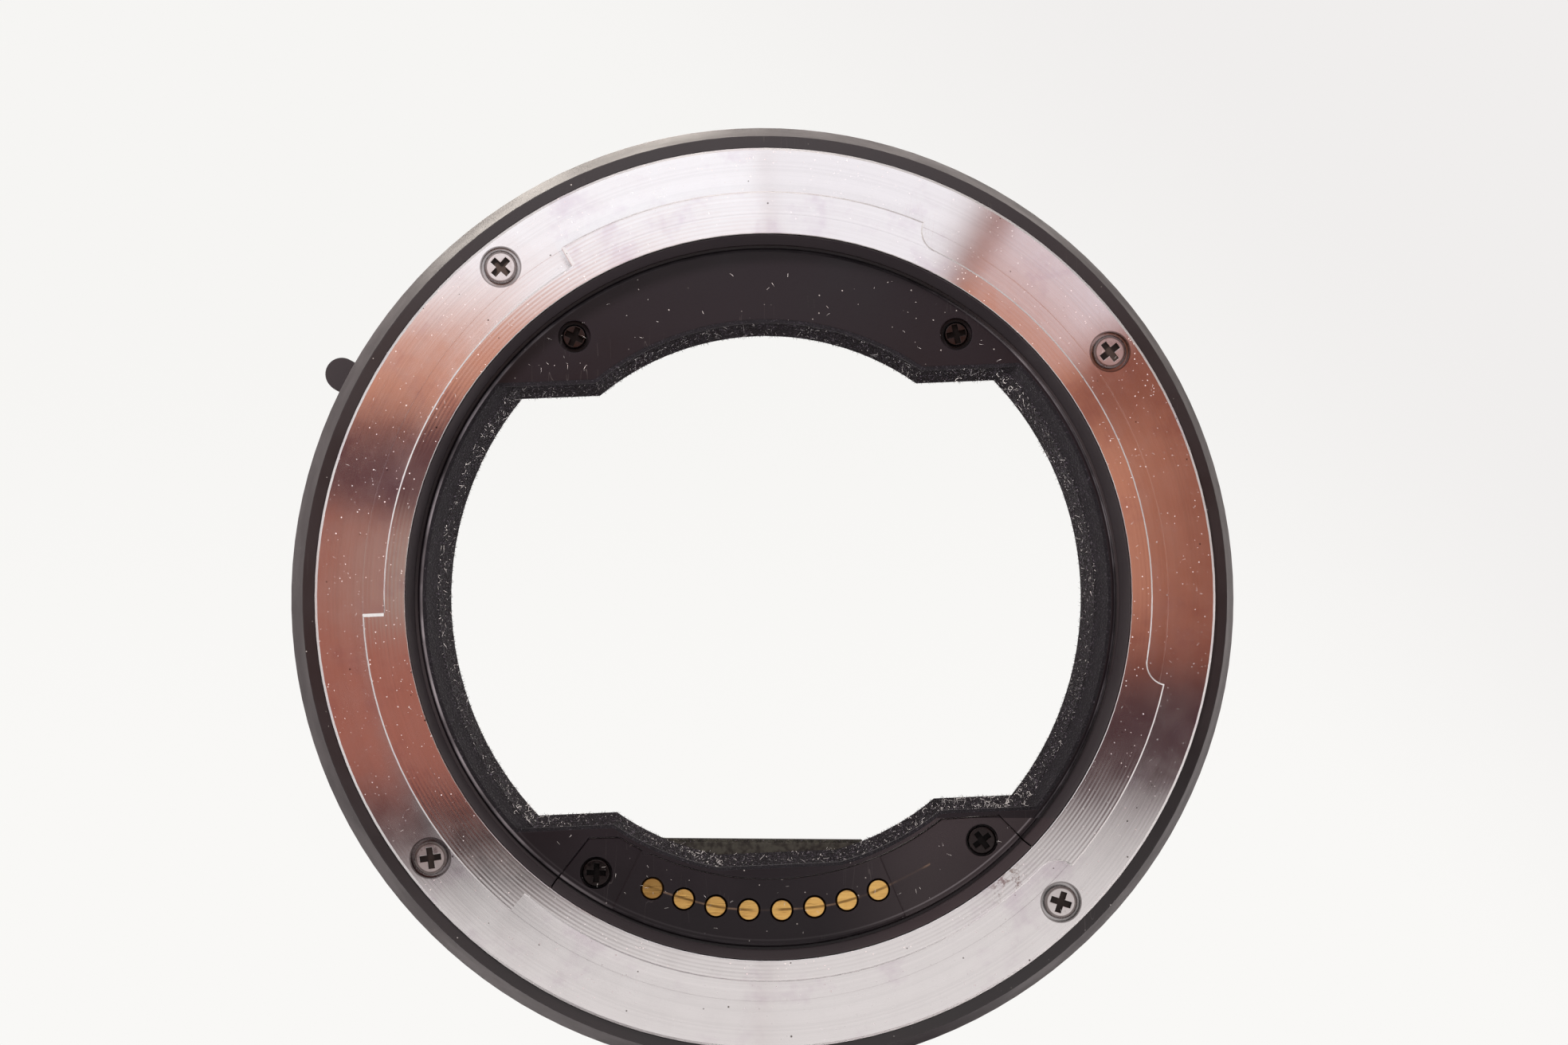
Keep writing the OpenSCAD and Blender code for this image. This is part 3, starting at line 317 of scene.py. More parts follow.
def turned_metal(name, base, rough):
    """Plated metal with concentric turning marks."""
    t = Tree(name)
    lines = t.math("ADD", t.times(t.rings(3800, 3.0, 0.7), 0.65), t.times(t.rings(900, 1.0), 0.35))
    mottle = t.noise(420, detail=4.0, rough=0.6)
    one_way, other_way = scratches(t, 900, 0.0009, 0.6, 0.01), scratches(t, 800, 0.0008, 2.1, 0.03)
    scratched = t.math("ADD", one_way, other_way, clamp=True)

    normal = t.bump(lines, 0.012 * MM, 0.4)
    normal = t.bump(groove_wave(t), 0.004 * MM, 1.0, normal)
    normal = t.bump(mottle, 0.002 * MM, 0.2, normal)
    normal = t.bump(scratched, -0.008 * MM, 0.12, normal)

    color = t.mix(t.ramp(lines, 0.35, 0.65, 0.0, 0.16), base, shaded(base, 0.72))
    color = t.mix(t.times(specks(t, 900, 0.09, 0.02), 0.8), color, GRIME)
    rust = t.fall(t.distance(t.coord.outputs["Object"], RUST_SPOT), *RUST_SIZE)
    rust = t.times(rust, t.ramp(t.noise(1500, detail=4.0, rough=0.7), 0.5, 0.62))
    color = t.mix(t.times(rust, 0.75), color, RUST)
    color = t.mix(t.ramp(t.noise(150, detail=4.0, rough=0.7), 0.5, 0.72, 0.0, 0.4), color, STAIN)
    # painted shade: this metal is darkened where it lies more than about 0.3 mm below the seat, less so
    # inside the screw holes
    deep = t.fall(t.xyz()[2], SEAT - 0.7 * MM, SEAT - 0.3 * MM)
    screw = screw_distance(t)
    hole = t.fall(screw, 1.9 * MM, 2.1 * MM)
    color = t.mix(t.times(deep, t.math("MULTIPLY_ADD", hole, -0.5, 0.92)), color, CREVICE_SHADE)
    # painted shade: a dark line along each counterbore's edge
    hole_edge_shade = t.ramp(t.off(screw, COUNTERBORE_EDGE), 0.03 * MM, 0.1 * MM, 0.7, 0.0)
    color = t.mix(t.times(hole_edge_shade, hole), color, HOLE_EDGE_SHADE)
    dust = t.math("ADD", specks(t, 2100, 0.15, 0.06), specks(t, 3300, 0.17, 0.11), clamp=True)
    dust = t.times(dust, t.ramp(t.noise(110, detail=2.0), 0.4, 0.6, 0.25, 1.0))
    color = t.mix(t.times(dust, 0.85), color, METAL_DUST)

    roughness = t.math("ADD", t.ramp(mottle, 0.3, 0.7, rough - 0.02, rough + 0.02), t.times(scratched, 0.04))
    metallic = t.minus(1.0, t.times(dust, 0.8))
    tangent = t.node("ShaderNodeTangent", direction_type="RADIAL", axis="Z")
    p = t.surface(color, roughness, metallic, normal, Anisotropic=0.9, Anisotropic_Rotation=0.25)
    t.link(tangent.outputs[0], p.inputs["Tangent"])
    return t.material


# black parts
RUBBED = linear(120, 112, 110)
BLACK_DUST = linear(190, 182, 178)
# painted light on the lens-side block's shaded edge
BLOCK_PAINTED_LIGHT = linear(62, 60, 55)
# painted light for the liner wall beyond the ridge, which lies in shade
LINER_WALL_PAINTED_LIGHT = linear(37, 33, 35)
# painted highlight for the liner's ridge and the block's second edge
EDGE_HIGHLIGHT = linear(112, 106, 110)
BLOCK_RIGHT = linear(42, 35, 37)
WIPED_PLASTIC = linear(104, 82, 66)
# painted shade in the gaps around the contact pads
PAD_GAP_SHADE = linear(4, 3, 4)
# the ridge's painted highlight is centred this far to the right, toward the light
RIDGE_SHIFT = 0.13 * MM
BLOCK_LIMIT = -19.5 * MM
SECOND_EDGE = LINER_RIDGE - 0.42 * MM
ROW_MIDDLE = 1.8 * MM
ROW_HALF = 12.5 * MM


def liner_wear_and_light(t, color):
    """Adds painted light on the lens-side block and the liner wall, painted highlights on the ridge and an
    edge, the wipe streak and painted shade around the pads to the liner's and the blocks' colour.
    """
    x, y, _ = t.xyz()
    low = t.math("LESS_THAN", y, BLOCK_LIMIT)
    ridge = t.hypot(t.minus(x, RIDGE_SHIFT), y)
    # painted light: the lens-side block's shaded edge is made paler
    color = t.mix(t.times(front_block_painted_light(t), 0.8), color, BLOCK_PAINTED_LIGHT)
    # painted light: the wall and groove beyond the ridge are made paler against their shade
    color = t.mix(t.ramp(t.radius(), LINER_RIDGE + 0.15 * MM, LINER_RIDGE + 0.21 * MM), color, LINER_WALL_PAINTED_LIGHT)

    # painted highlight along the liner's ridge, patchy and fainter at the top and bottom
    ridge_highlight = t.fall(t.off(ridge, LINER_RIDGE), 0.03 * MM, 0.19 * MM)
    uneven = t.ramp(t.noise(210, detail=3.0), 0.34, 0.66, 0.2, 1.0)
    sides = t.ramp(t.math("ABSOLUTE", x), 12 * MM, 26 * MM, 0.15, 1.0)
    color = t.mix(t.times(ridge_highlight, uneven, sides), color, EDGE_HIGHLIGHT)
    color = t.mix(t.times(low, t.ramp(x, 4 * MM, 15 * MM, 0.0, 0.75)), color, BLOCK_RIGHT)
    # painted highlight along the block's second edge, stronger toward the right
    edge = t.fall(t.off(ridge, SECOND_EDGE), 0.03 * MM, 0.1 * MM)
    color = t.mix(t.times(edge, low, t.ramp(x, 6 * MM, 17 * MM, 0.05, 0.4)), color, EDGE_HIGHLIGHT)

    row = t.times(low, t.math("LESS_THAN", t.off(x, ROW_MIDDLE), ROW_HALF))
    color = t.mix(t.times(wipe_streak(t, 0.12 * MM), row, 0.45), color, WIPED_PLASTIC)
    # painted shade: the plastic right around each contact pad is made near black
    hole = t.fall(pad_distance(t), PAD_RADIUS + 0.04 * MM, PAD_RADIUS + 0.13 * MM)
    return t.mix(hole, color, PAD_GAP_SHADE)


def black_surface(name, base, rough, grain, grain_height, spec, wear_and_light=None):
    """Dark plastic or anodised metal with fine grain, rub marks and dust.
    The optional call adds more to its colour: wear, and painted light and shade."""
    t = Tree(name)
    cloud = t.noise(160, detail=3.0)
    scratched = scratches(t, 900, 0.002, 1.2, 0.05)
    normal = t.bump(t.noise(grain, detail=4.0, rough=0.65), grain_height, 0.6, t.bevel(0.15 * MM))
    normal = t.bump(scratched, -0.01 * MM, 0.5, normal)
    color = t.mix(t.ramp(cloud, 0.35, 0.7, 0.0, 0.5), base, shaded(base, 1.35))
    color = t.mix(t.times(scratched, 0.12), color, RUBBED)
    color = t.mix(t.times(specks(t, 1500, 0.11, 0.04), 0.35), color, BLACK_DUST)
    if wear_and_light is not None:
        color = wear_and_light(t, color)
    t.surface(color, t.ramp(cloud, 0.3, 0.7, rough - 0.06, rough + 0.08), 0.0, normal, spec=spec)
    return t.material


FLOCK_GAP = linear(10, 8, 11)
FLOCK_TIP = linear(92, 84, 94)
# painted shade for the slopes above the bevel
FLOCK_UPPER_SHADE = linear(20, 18, 21)
FLOCK_LUMP = linear(40, 36, 42)
# painted light on the flock beside the lens-side block's edge
FLOCK_PAINTED_LIGHT = linear(66, 64, 58)


def flock_surface(name):
    """Short black fibres lying in all directions, with painted shade on the slopes above the bevel."""
    t = Tree(name)
    f = t.noise(5600, detail=2.0, rough=0.8)
    lumps = t.noise(1300, detail=3.0)
    color = t.mix(t.ramp(f, 0.56, 0.74), FLOCK_GAP, FLOCK_TIP)
    # painted shade: the flock above the bevel is made darker, patchily
    above = t.ramp(t.xyz()[2], GATE + 1.8 * MM, GATE + 2.1 * MM)
    color = t.mix(t.times(above, t.ramp(t.noise(900, detail=3.0), 0.3, 0.7, 0.95, 0.6)), color, FLOCK_UPPER_SHADE)
    color = t.mix(t.ramp(lumps, 0.5, 0.75, 0.0, 0.15), color, FLOCK_LUMP)
    # painted light: the flock by the block's shaded edge is made paler
    color = t.mix(t.times(front_block_painted_light(t), 0.7), color, FLOCK_PAINTED_LIGHT)
    t.surface(color, 0.85, 0.0, t.bump(f, 0.18 * MM, 1.0), spec=0.3, Sheen_Weight=0.08, Sheen_Roughness=0.4)
    return t.material


# small metal pieces
HEAD_RING = 1.28 * MM
# painted shade line around the screw heads
HEAD_RING_SHADE = linear(84, 70, 66)
# painted shade for the screws' recesses
BLACK_RECESS_SHADE = linear(9, 7, 7)
BRIGHT_RECESS_SHADE = linear(52, 43, 40)


def simple_metal(name, base, rough, grain=2600, height=0.006 * MM, dirt=0.3,
                 top=None, ring=None, fill=BLACK_RECESS_SHADE):
    """Small plated or blackened piece. Recesses below the height top get painted shade in the colour fill.
    A painted shade line runs around the flange screws at the radius ring."""
    t = Tree(name)
    g = t.noise(grain, detail=4.0, rough=0.6)
    color = t.mix(t.ramp(t.noise(1700, detail=2.0), 0.55, 0.72, 0.0, dirt), base, shaded(base, 0.3))
    metallic, spec = 1.0, 0.5
    if ring is not None:
        # painted shade: a dark line around each flange screw head
        line = t.ramp(t.off(screw_distance(t), ring), 0.04 * MM, 0.11 * MM, 0.75, 0.0)
        color = t.mix(line, color, HEAD_RING_SHADE)
    if top is not None:
        # painted shade: recesses below the height top take the colour fill and lose their metal shine
        deep = t.fall(t.xyz()[2], top - 0.3 * MM, top - 0.2 * MM)
        color = t.mix(deep, color, fill)
        metallic = t.minus(1.0, deep)
        spec = t.math("MULTIPLY_ADD", deep, -0.42, 0.5)
    normal = t.bump(g, height, 0.7, t.bevel(0.06 * MM))
    t.surface(color, t.ramp(g, 0.3, 0.7, rough - 0.08, rough + 0.1), metallic, normal, spec=spec)
    return t.material


GOLD = linear(250, 204, 122)
GOLD_WORN = linear(222, 166, 86)
GOLD_BRUSHED = linear(164, 116, 58)
# painted shade along the pads' edges
GOLD_EDGE_SHADE = linear(38, 22, 10)
GOLD_DIRTY = linear(140, 104, 56)
GOLD_WIPED = linear(116, 84, 48)
FIRST_PAD_LIMIT = (-9.4 * MM, -8.9 * MM)


def gold_surface(name):
    """Gold pads with brushing, painted shade along the edge and wipe marks. The first pad from the left is
    dirtier.
    """
    t = Tree(name)
    brushed = t.mapped(scale=(0.16, 2.6, 1.0), rotation=(0, 0, -0.35))
    lines = t.noise(1900, detail=3.0, rough=0.8, vector=brushed)
    color = t.mix(t.ramp(t.noise(700, detail=2.0), 0.45, 0.7, 0.0, 0.35), GOLD, GOLD_WORN)
    color = t.mix(t.ramp(lines, 0.54, 0.7, 0.0, 0.55), color, GOLD_BRUSHED)
    # painted shade: a dark ring just inside each pad's edge
    color = t.mix(t.ramp(pad_distance(t), PAD_RADIUS - 0.08 * MM, PAD_RADIUS - 0.02 * MM), color, GOLD_EDGE_SHADE)
    color = t.mix(t.ramp(t.xyz()[0], *FIRST_PAD_LIMIT, 0.45, 0.0), color, GOLD_DIRTY)
    color = t.mix(t.times(wipe_streak(t, 0.16 * MM), 0.75), color, GOLD_WIPED)
    t.surface(color, t.ramp(lines, 0.3, 0.7, 0.26, 0.42), 1.0, t.bump(lines, 0.02 * MM, 0.7))
    return t.material


def plain(name, color, rough):
    """Even paint, film or fibre with a little grain."""
    t = Tree(name)
    g = t.noise(1800, detail=3.0)
    t.surface(color, t.ramp(g, 0.3, 0.7, rough - 0.05, rough + 0.05), 0.0, t.bump(g, 0.01 * MM, 0.5))
    return t.material


LOOKS = {
    "bayonet_metal": turned_metal("bayonet_metal", linear(240, 238, 238), 0.2),
    "black_anodised": black_surface("black_anodised", linear(22, 18, 19), 0.42, 7000, 0.012 * MM, 0.55),
    "bright_screw": simple_metal("bright_screw", linear(222, 217, 216), 0.3, 900, 0.002 * MM, 0.2,
                                 top=SEAT - 0.1 * MM, ring=HEAD_RING, fill=BRIGHT_RECESS_SHADE),
    "black_plastic": black_surface("black_plastic", linear(16, 12, 15), 0.44, 5200, 0.01 * MM, 0.3,
                                   wear_and_light=liner_wear_and_light),
    "flock": flock_surface("flock"),
    "contact_gold": gold_surface("contact_gold"),
    "black_screw": simple_metal("black_screw", linear(62, 57, 57), 0.3, top=PLATE - 0.1 * MM),
    "spring_steel": simple_metal("spring_steel", linear(205, 203, 200), 0.28),
    "amber_film": plain("amber_film", linear(150, 88, 32), 0.3),
    "red_paint": plain("red_paint", linear(176, 28, 22), 0.35),
    "flock_hair": plain("flock_hair", linear(26, 22, 26), 0.6),
    "lint": plain("lint", linear(196, 190, 188), 0.7),
}
SLOT = {s["node"]: s["material_slot"] for s in record["subparts"]}
for name, obj in nodes.items():
    obj.data.materials.clear()
    obj.data.materials.append(LOOKS[SLOT[name]])
    for poly in obj.data.polygons:
        poly.material_index = 0


def new_mesh(name, verts, faces, material):
    """Object made of the given points and faces, linked to the scene."""
    mesh = bpy.data.meshes.new(name)
    mesh.from_pydata(verts, [], faces)
    mesh.update()
    mesh.materials.append(material)
    obj = bpy.data.objects.new(name, mesh)
    scene.collection.objects.link(obj)
    return obj


# picture opening of the CAD part: two radii, half height of the band, flat at the bottom, turn, bevel
GATE_WIDE = 27.93 * MM
GATE_SMALL = 23.2 * MM
GATE_HALF = 18.45 * MM
GATE_FLAT = -22.6 * MM
GATE_FLAT_HALF = 5.2 * MM
GATE_TURN = Matrix.Rotation(math.radians(2.4), 3, "Z")
BEVEL_RISE = 1.8 * MM


def gate_point(u):
    """Point and outward direction on the picture opening's edge at u from 0 to 1, before its turn."""
    a = 2 * math.pi * u
    c, d = math.cos(a), math.sin(a)
    if abs(d) * GATE_WIDE <= GATE_HALF:
        reach = GATE_WIDE
    else:
        reach = max(GATE_SMALL, GATE_HALF / abs(d))
    x, y = reach * c, reach * d
    if d < 0 and abs(x) < GATE_FLAT_HALF and y < GATE_FLAT:
        y = GATE_FLAT
    if reach > GATE_SMALL and abs(abs(y) - GATE_HALF) < 1e-7:
        out = Vector((0.0, math.copysign(1.0, y), 0.0))
    else:
        out = Vector((c, d, 0.0))
    return Vector((x, y, 0.0)), out


def fibre(verts, faces, start, end, width, lift=0.0):
    """Thin upright blade from start to end, bowed a little."""
    run = end - start
    side = run.cross(Vector((0, 0, 1)))
    if side.length < 1e-9:
        side = Vector((1, 0, 0))
    side = side.normalized() * width / 2
    middle = (start + end) / 2 + Vector((0, 0, lift)) + side * random.uniform(-4, 4)
    n = len(verts)
    verts += [start - side, start + side, middle + side * 0.8, middle - side * 0.8, end]
    faces += [(n, n + 1, n + 2, n + 3), (n + 3, n + 2, n + 4)]


def any_turn():
    """Random direction on the plane, as an angle."""
    return random.uniform(0, 2 * math.pi)


def heading(turn, rise=0.0):
    """Vector of length 1 on the plane at an angle, with some rise added."""
    return Vector((math.cos(turn), math.sin(turn), rise))


FLOCK_COUNT = 17000
EDGE_LINT_COUNT = 1500
METAL_HAIR_COUNT = 90
PLATE_LINT_COUNT = 170
CURL_COUNT = 46

# places on the opening's edge, from 0 to 1 around it, where lint and its curls gather
LINT_SPOTS = (0.115, 0.385, 0.615, 0.875, 0.885, 0.8, 0.7)
CURL_SPOTS = (0.886, 0.886, 0.886, 0.86, 0.835, 0.72, 0.61, 0.115)


def flock_fibres():
    """Hairs of the flock, standing roughly square to the bevel of the opening."""
    verts, faces = [], []
    for _ in range(FLOCK_COUNT):
        p, out = gate_point(random.random())
        s = random.random()
        at = p + out * (s * MM)
        base = GATE_TURN @ Vector((at.x, at.y, GATE + s * BEVEL_RISE))
        slope = GATE_TURN @ Vector((-out.x * 0.87, -out.y * 0.87, 0.48))
        lean = Vector((random.gauss(0, 1), random.gauss(0, 1), random.gauss(0, 1))) * 0.8
        tip = base + (slope + lean).normalized() * random.uniform(0.12, 0.34) * MM
        fibre(verts, faces, base, tip, random.uniform(0.018, 0.035) * MM)
    return new_mesh("flock_fibres", verts, faces, LOOKS["flock_hair"])


def edge_lint(verts, faces):
    """Pale fibres caught on the bevel of the opening."""
    for _ in range(EDGE_LINT_COUNT):
        gathered = random.random() < 0.3
        u = random.choice(LINT_SPOTS) + random.gauss(0, 0.012) if gathered else random.random()
        p, out = gate_point(u)
        at = p + out * (random.uniform(-0.1, 1.3) * MM)
        rise = max(0.0, min(1.0, (at - p).length / MM)) * BEVEL_RISE
        base = GATE_TURN @ Vector((at.x, at.y, GATE + rise + 0.1 * MM))
        turn = any_turn()
        length = random.uniform(0.08, 0.3) * MM if random.random() < 0.8 else random.uniform(0.3, 0.8) * MM
        end = base + heading(turn, 0.15) * length
        fibre(verts, faces, base, end, random.uniform(0.014, 0.028) * MM, 0.1 * MM)


def metal_hairs(verts, faces):
    """Fibres lying on the flange and on the bayonet's face."""
    for _ in range(METAL_HAIR_COUNT):
        turn = any_turn()
        low = random.random() < 0.6
        r = random.uniform(36.2, 39.4) if low else random.uniform(32.1, 33.4)
        base = Vector((r * math.cos(turn) * MM, r * math.sin(turn) * MM, (SEAT if low else FACE) + 0.03 * MM))
        end = base + heading(any_turn()) * random.uniform(0.1, 0.4) * MM
        fibre(verts, faces, base, end, random.uniform(0.012, 0.02) * MM, 0.02 * MM)


def plate_lint(verts, faces):
    """Fibres lying on the upper and lower parts of the liner's plate."""
    for _ in range(PLATE_LINT_COUNT):
        turn = any_turn()
        r = random.uniform(25.5, 30.2) * MM
        base = Vector((r * math.cos(turn), r * math.sin(turn), PLATE + 0.03 * MM))
        if abs(base.y) < 20 * MM:
            continue
        end = base + heading(any_turn()) * random.uniform(0.08, 0.5) * MM
        fibre(verts, faces, base, end, random.uniform(0.012, 0.022) * MM, 0.03 * MM)


def curls(verts, faces):
    """Curled fibres in the opening's corners, each a chain of short blades."""
    for _ in range(CURL_COUNT):
        p, out = gate_point(random.choice(CURL_SPOTS) + random.gauss(0, 0.006))
        at = p + out * (random.uniform(0.0, 1.4) * MM)
        base = GATE_TURN @ Vector((at.x, at.y, PLATE - random.uniform(0.3, 0.9) * MM))
        turn, curve = any_turn(), random.choice((-1, 1)) * random.uniform(0.3, 0.95)
        step, width = random.uniform(0.07, 0.13) * MM, random.uniform(0.02, 0.034) * MM
        for _ in range(random.randint(4, 8)):
            end = base + heading(turn, 0.02) * step
            fibre(verts, faces, base, end + (end - base) * 0.25, width)
            base, turn = end, turn + curve


def lint_fibres():
    """All the pale dust fibres, as one mesh."""
    verts, faces = [], []
    for lay in (edge_lint, metal_hairs, plate_lint, curls):
        lay(verts, faces)
    return new_mesh("lint", verts, faces, LOOKS["lint"])


for piece in (flock_fibres(), lint_fibres()):
    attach(piece, "tube")

# camera: solved from the flange circle, the bayonet face circle and the contact ring in the photo
PHOTO_WIDTH = 1968
PHOTO_MIDDLE = (984, 656)
FLANGE_IN_PHOTO = (962.5, 749.8)
FOCAL_PX = 6084.5
SENSOR_WIDTH = 36
DIST = 430 * MM
PX = DIST / FOCAL_PX

# the tube's axes and the middle of its flange, in the camera's own space
axis_z = Vector((0.042, 0.028, 1.0)).normalized()
axis_x = (Vector((1, 0, 0)) - axis_z * axis_z.x).normalized()
axis_y = axis_z.cross(axis_x)
rot = Matrix((axis_x, axis_y, axis_z))
flange_centre = Vector((
    (FLANGE_IN_PHOTO[0] - PHOTO_MIDDLE[0]) * PX,
    (PHOTO_MIDDLE[1] - FLANGE_IN_PHOTO[1]) * PX,
    -DIST,
))
cam_data = bpy.data.cameras.new("camera")
cam_data.sensor_fit = "HORIZONTAL"
cam_data.sensor_width = SENSOR_WIDTH
cam_data.lens = FOCAL_PX / PHOTO_WIDTH * SENSOR_WIDTH
cam_data.clip_start, cam_data.clip_end = 0.01, 20
camera = bpy.data.objects.new("camera", cam_data)
scene.collection.objects.link(camera)
camera.matrix_world = Matrix.Translation(Vector((0, 0, SEAT)) - rot @ flange_centre) @ rot.to_4x4()
scene.camera = camera

# ground: what the camera sees of it, and what the part mirrors and is lit by
GROUND = linear(246, 245, 243)
GROUND_NEAR = linear(249, 248, 246)
GROUND_FAR = linear(240, 238, 237)
MIRRORED = linear(172, 167, 166)
MIRRORED_LEFT = linear(126, 121, 122)
MIRRORED_RIGHT = linear(134, 129, 128)
# painted pool of light and painted shadow on the ground, as the part mirrors it
MIRRORED_LIGHT = linear(255, 250, 244)
MIRRORED_SHADOW = linear(52, 48, 52)
LIGHT_PLACE = (-26 * MM, 58 * MM)
SHADOW_PLACE = (8 * MM, -56 * MM)
GROUND_HALF = 3
GROUND_Z = -0.2 * MM


def pale_floor(name):
    """Even pale ground, a little greyer toward the upper right.
    In reflections it has a painted pool of light and a painted shadow."""
    t = Tree(name)
    x, y, _ = t.xyz()
    shade = t.mix(t.ramp(y, -20 * MM, 30 * MM), GROUND_NEAR, GROUND)
    shade = t.mix(t.ramp(t.math("ADD", x, y), 30 * MM, 100 * MM), shade, GROUND_FAR)

    def place(px, py):
        return t.fall(t.hypot(t.minus(x, px), t.minus(y, py)), 12 * MM, 30 * MM)

    seen = t.mix(t.fall(x, -50 * MM, -30 * MM), MIRRORED, MIRRORED_LEFT)
    seen = t.mix(t.times(t.ramp(x, 28 * MM, 45 * MM), t.ramp(y, 0.0, 15 * MM)), seen, MIRRORED_RIGHT)
    # painted pool of light and painted shadow, seen only by rays that are not camera rays
    seen = t.mix(place(*LIGHT_PLACE), seen, MIRRORED_LIGHT)
    diffuse = t.node("ShaderNodeBsdfDiffuse")
    t.link(t.mix(place(*SHADOW_PLACE), seen, MIRRORED_SHADOW), diffuse.inputs["Color"])
    path = t.node("ShaderNodeLightPath")
    either = t.node("ShaderNodeMixShader")
    t.link(path.outputs["Is Camera Ray"], either.inputs[0])
    t.link(diffuse.outputs[0], either.inputs[1])
    t.link(t.emission(shade), either.inputs[2])
    t.link(either.outputs[0], t.out.inputs["Surface"])
    return t.material


corners = [(x * GROUND_HALF, y * GROUND_HALF, GROUND_Z) for x, y in ((-1, -1), (1, -1), (1, 1), (-1, 1))]
floor = new_mesh("floor", corners, [(0, 1, 2, 3)], pale_floor("floor"))

# room light: grey all round, and the ground's colour where the camera looks past it
ROOM_LIGHT = (0.62, 0.6, 0.6, 1)
ROOM_STRENGTH = 0.22
world = bpy.data.worlds.new("studio")
scene.world = world
world.use_nodes = True
wt = world.node_tree
wt.nodes.clear()
w_out = wt.nodes.new("ShaderNodeOutputWorld")
w_cam = wt.nodes.new("ShaderNodeBackground")
w_cam.inputs["Color"].default_value = GROUND
w_env = wt.nodes.new("ShaderNodeBackground")
w_env.inputs["Color"].default_value = ROOM_LIGHT
w_env.inputs["Strength"].default_value = ROOM_STRENGTH
w_mix = wt.nodes.new("ShaderNodeMixShader")
w_path = wt.nodes.new("ShaderNodeLightPath")
wt.links.new(w_path.outputs["Is Camera Ray"], w_mix.inputs[0])
wt.links.new(w_env.outputs[0], w_mix.inputs[1])
wt.links.new(w_cam.outputs[0], w_mix.inputs[2])
wt.links.new(w_mix.outputs[0], w_out.inputs["Surface"])

# light from above: a coppery room with pale windows and dark gaps between them, all drawn on one card
LEFT_ROOM = linear(150, 90, 76)
RIGHT_ROOM = linear(124, 70, 56)
DARK = linear(62, 38, 41)
UPPER_DARK = linear(84, 52, 54)
DEEP = linear(8, 5, 5)
LOW_WINDOW = linear(216, 211, 210)
HIGH_WINDOW = linear(247, 246, 250)
RIGHT_WINDOW = linear(237, 234, 238)
SIDE_WINDOW = linear(216, 206, 213)
BRIGHT_WALL = linear(196, 132, 106)
GREY_WALL = linear(158, 146, 138)
CARD_LIGHT = 1.2
CARD_PLACE = (1 * MM, 1 * MM, 60 * MM)
CARD_RADIUS = 0.3
CIRCLE_STEPS = 48
TO_MM = 1000.0


def circle(radius):
    """Points of a circle around the optical axis."""
    turns = [2 * math.pi * i / CIRCLE_STEPS for i in range(CIRCLE_STEPS)]
    return [(radius * math.cos(a), radius * math.sin(a)) for a in turns]


def light_card():
    """The drawn room. The flange mirrors it at about 42 mm from the middle,
    the bayonet's face at about 35 mm."""
    t = Tree("light_card")
    x, y, _ = t.xyz()
    up = t.times(y, TO_MM)
    down = t.times(y, -TO_MM)
    away = t.times(t.radius(), TO_MM)
    right = t.ramp(x, -1 * MM, 1 * MM)
    left = t.minus(1.0, right)
    inner = t.fall(away, 37.0, 39.0)
    outer = t.ramp(away, 36.5, 39.5)
    central = t.ramp(t.times(t.math("ABSOLUTE", x), TO_MM), 34.0, 40.0, 0.8, 0.0)

    def along(angle):
        """Distance in mm from the line through the middle at an angle,
        positive clockwise of it in the picture."""
        c, d = math.cos(math.radians(angle)), math.sin(math.radians(angle))
        return t.times(t.minus(t.times(x, -d), t.times(y, c)), TO_MM)

    def between(value, low, high, soft):
        return t.times(t.ramp(value, low - soft, low + soft), t.fall(value, high - soft, high + soft))

    upper_dark = t.times(t.ramp(t.math("ADD", up, t.times(inner, 2.6)), 6.8, 10.8), t.fall(up, 14.8, 18.8))
    side_window = t.times(outer, t.ramp(along(303.5), -1.0, 1.5), t.fall(along(324), -3.0, 2.0))
    side_wall = t.times(inner, t.ramp(along(302), -1.0, 1.5), t.ramp(along(327), -3.0, 2.0, 0.85, 0.0))
    color = t.mix(right, LEFT_ROOM, RIGHT_ROOM)
    for half, mask, shade in (
        (right, between(down, 8.0, 30.0, 3.0), DARK),
        (left, between(down, 19.2, 40.0, 1.8), DARK),
        (left, t.times(inner, between(down, 20.0, 27.8, 1.2)), DEEP),
        (left, upper_dark, UPPER_DARK),
        (left, between(up, 17.5, 32.0, 2.0), BRIGHT_WALL),
        (right, t.ramp(down, 18.6, 23.0, 0.0, 0.72), LOW_WINDOW),
        (right, t.ramp(down, 24.0, 31.0), LOW_WINDOW),
        (left, t.ramp(t.minus(down, t.times(inner, 1.2)), 26.8, 29.2), LOW_WINDOW),
        (left, t.ramp(up, 24.5, 30.0), HIGH_WINDOW),
        (right, t.times(t.ramp(up, 6.0, 12.0), t.fall(along(300), -3.0, 2.5)), RIGHT_WINDOW),
        (right, side_window, SIDE_WINDOW),
        (right, side_wall, BRIGHT_WALL),
        (right, t.times(between(down, -15.0, 3.0, 4.0), central), BRIGHT_WALL),
        (left, t.times(between(down, -6.0, 3.5, 2.5), central), GREY_WALL),
    ):
        color = t.mix(t.times(half, mask), color, shade)
    t.link(t.emission(color, CARD_LIGHT), t.out.inputs["Surface"])
    return t.material


def only_mirrored(obj):
    """The object is seen in reflections only."""
    obj.visible_camera = False
    obj.visible_shadow = False
    obj.visible_diffuse = False


card_points = [(x, y, 0) for x, y in circle(CARD_RADIUS)]
card = new_mesh("card", card_points, [tuple(range(CIRCLE_STEPS))], light_card())
card.location = CARD_PLACE
only_mirrored(card)

# light at the horizon, which the bevels mirror
BAND_RADIUS = 0.6
BAND_HEIGHTS = (-0.05, 0.25)
BAND_LIGHT = 0.98
BAND_DIM = 0.12
BAND_COLOR = (1.0, 0.97, 0.95, 1)


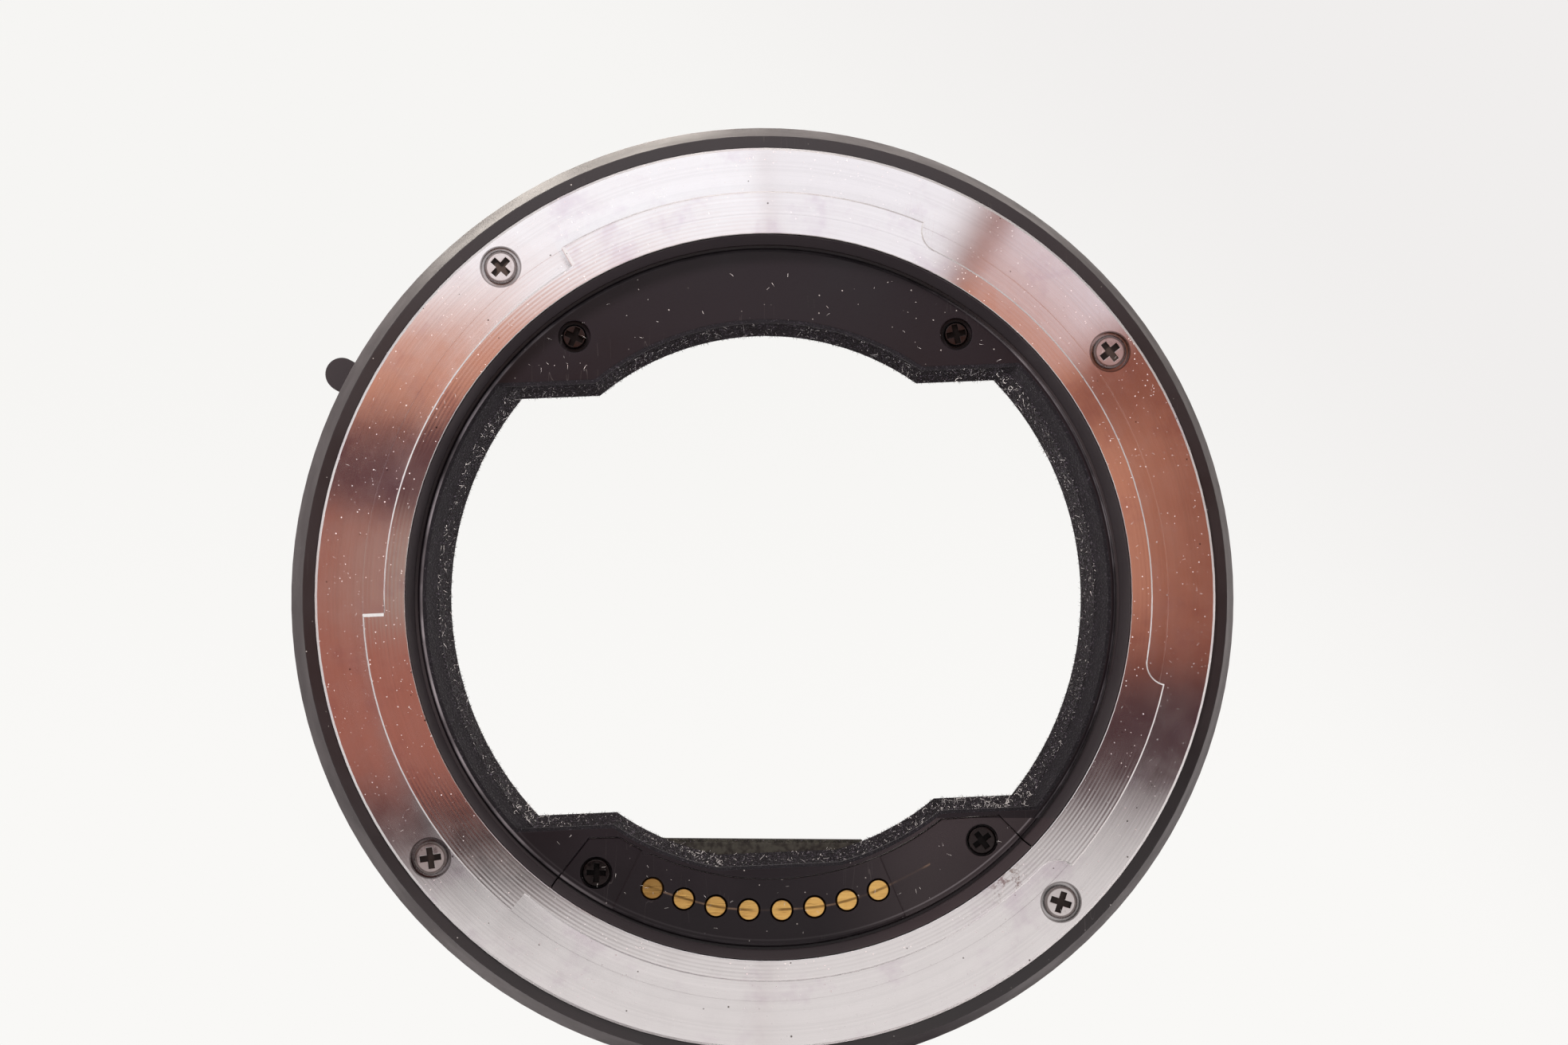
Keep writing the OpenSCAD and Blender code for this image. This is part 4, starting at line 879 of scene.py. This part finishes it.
def band_card():
    """Light all round at the horizon, dim toward the bottom of the picture."""
    t = Tree("band_card")
    side = t.math("DIVIDE", t.xyz()[1], BAND_RADIUS)
    strength = t.ramp(side, -0.97, -0.74, BAND_DIM, BAND_LIGHT)
    t.link(t.emission(BAND_COLOR, strength), t.out.inputs["Surface"])
    return t.material


around = [(x, y, z) for z in BAND_HEIGHTS for x, y in circle(BAND_RADIUS)]
next_step = [(i + 1) % CIRCLE_STEPS for i in range(CIRCLE_STEPS)]
panels = [(i, j, CIRCLE_STEPS + j, CIRCLE_STEPS + i) for i, j in enumerate(next_step)]
band = new_mesh("band", around, panels, band_card())
only_mirrored(band)


def area(name, loc, size, power, color, target=(0, 0, 0.03), glossy=True):
    """Rectangular lamp aimed at a target, never seen by the camera. Sizes in metres, power in watts."""
    data = bpy.data.lights.new(name, "AREA")
    data.shape = "RECTANGLE"
    data.size, data.size_y = size
    data.energy = power
    data.color = color
    obj = bpy.data.objects.new(name, data)
    scene.collection.objects.link(obj)
    obj.location = loc
    obj.rotation_euler = (Vector(target) - Vector(loc)).to_track_quat("-Z", "Y").to_euler()
    obj.visible_camera = False
    obj.visible_glossy = glossy
    return obj


# the first three lamps light matt surfaces only, the panels are mirrored as well
area("top_fill", (0.05, 0.1, 0.75), (0.7, 0.6), 3.0, (1.0, 0.98, 0.99), glossy=False)
area("near_fill", (0.05, -0.7, 0.35), (0.8, 0.3), 9.0, (1.0, 0.97, 0.98), glossy=False)
area("rim_glow", (-0.06, 0.13, 0.16), (0.05, 0.03), 0.8, (1.0, 0.95, 0.9),
     target=(-0.028, 0.056, 0.0), glossy=False)
area("far_panel", (-0.35, 0.85, 0.10), (0.9, 0.3), 7.0, (1.0, 0.96, 0.92))
area("left_panel", (-0.9, 0.0, 0.12), (1.0, 0.3), 5.0, (1.0, 0.96, 0.94))
area("right_panel", (0.9, 0.0, 0.12), (1.0, 0.3), 8.0, (1.0, 0.96, 0.94))

scene.view_settings.view_transform = "Standard"
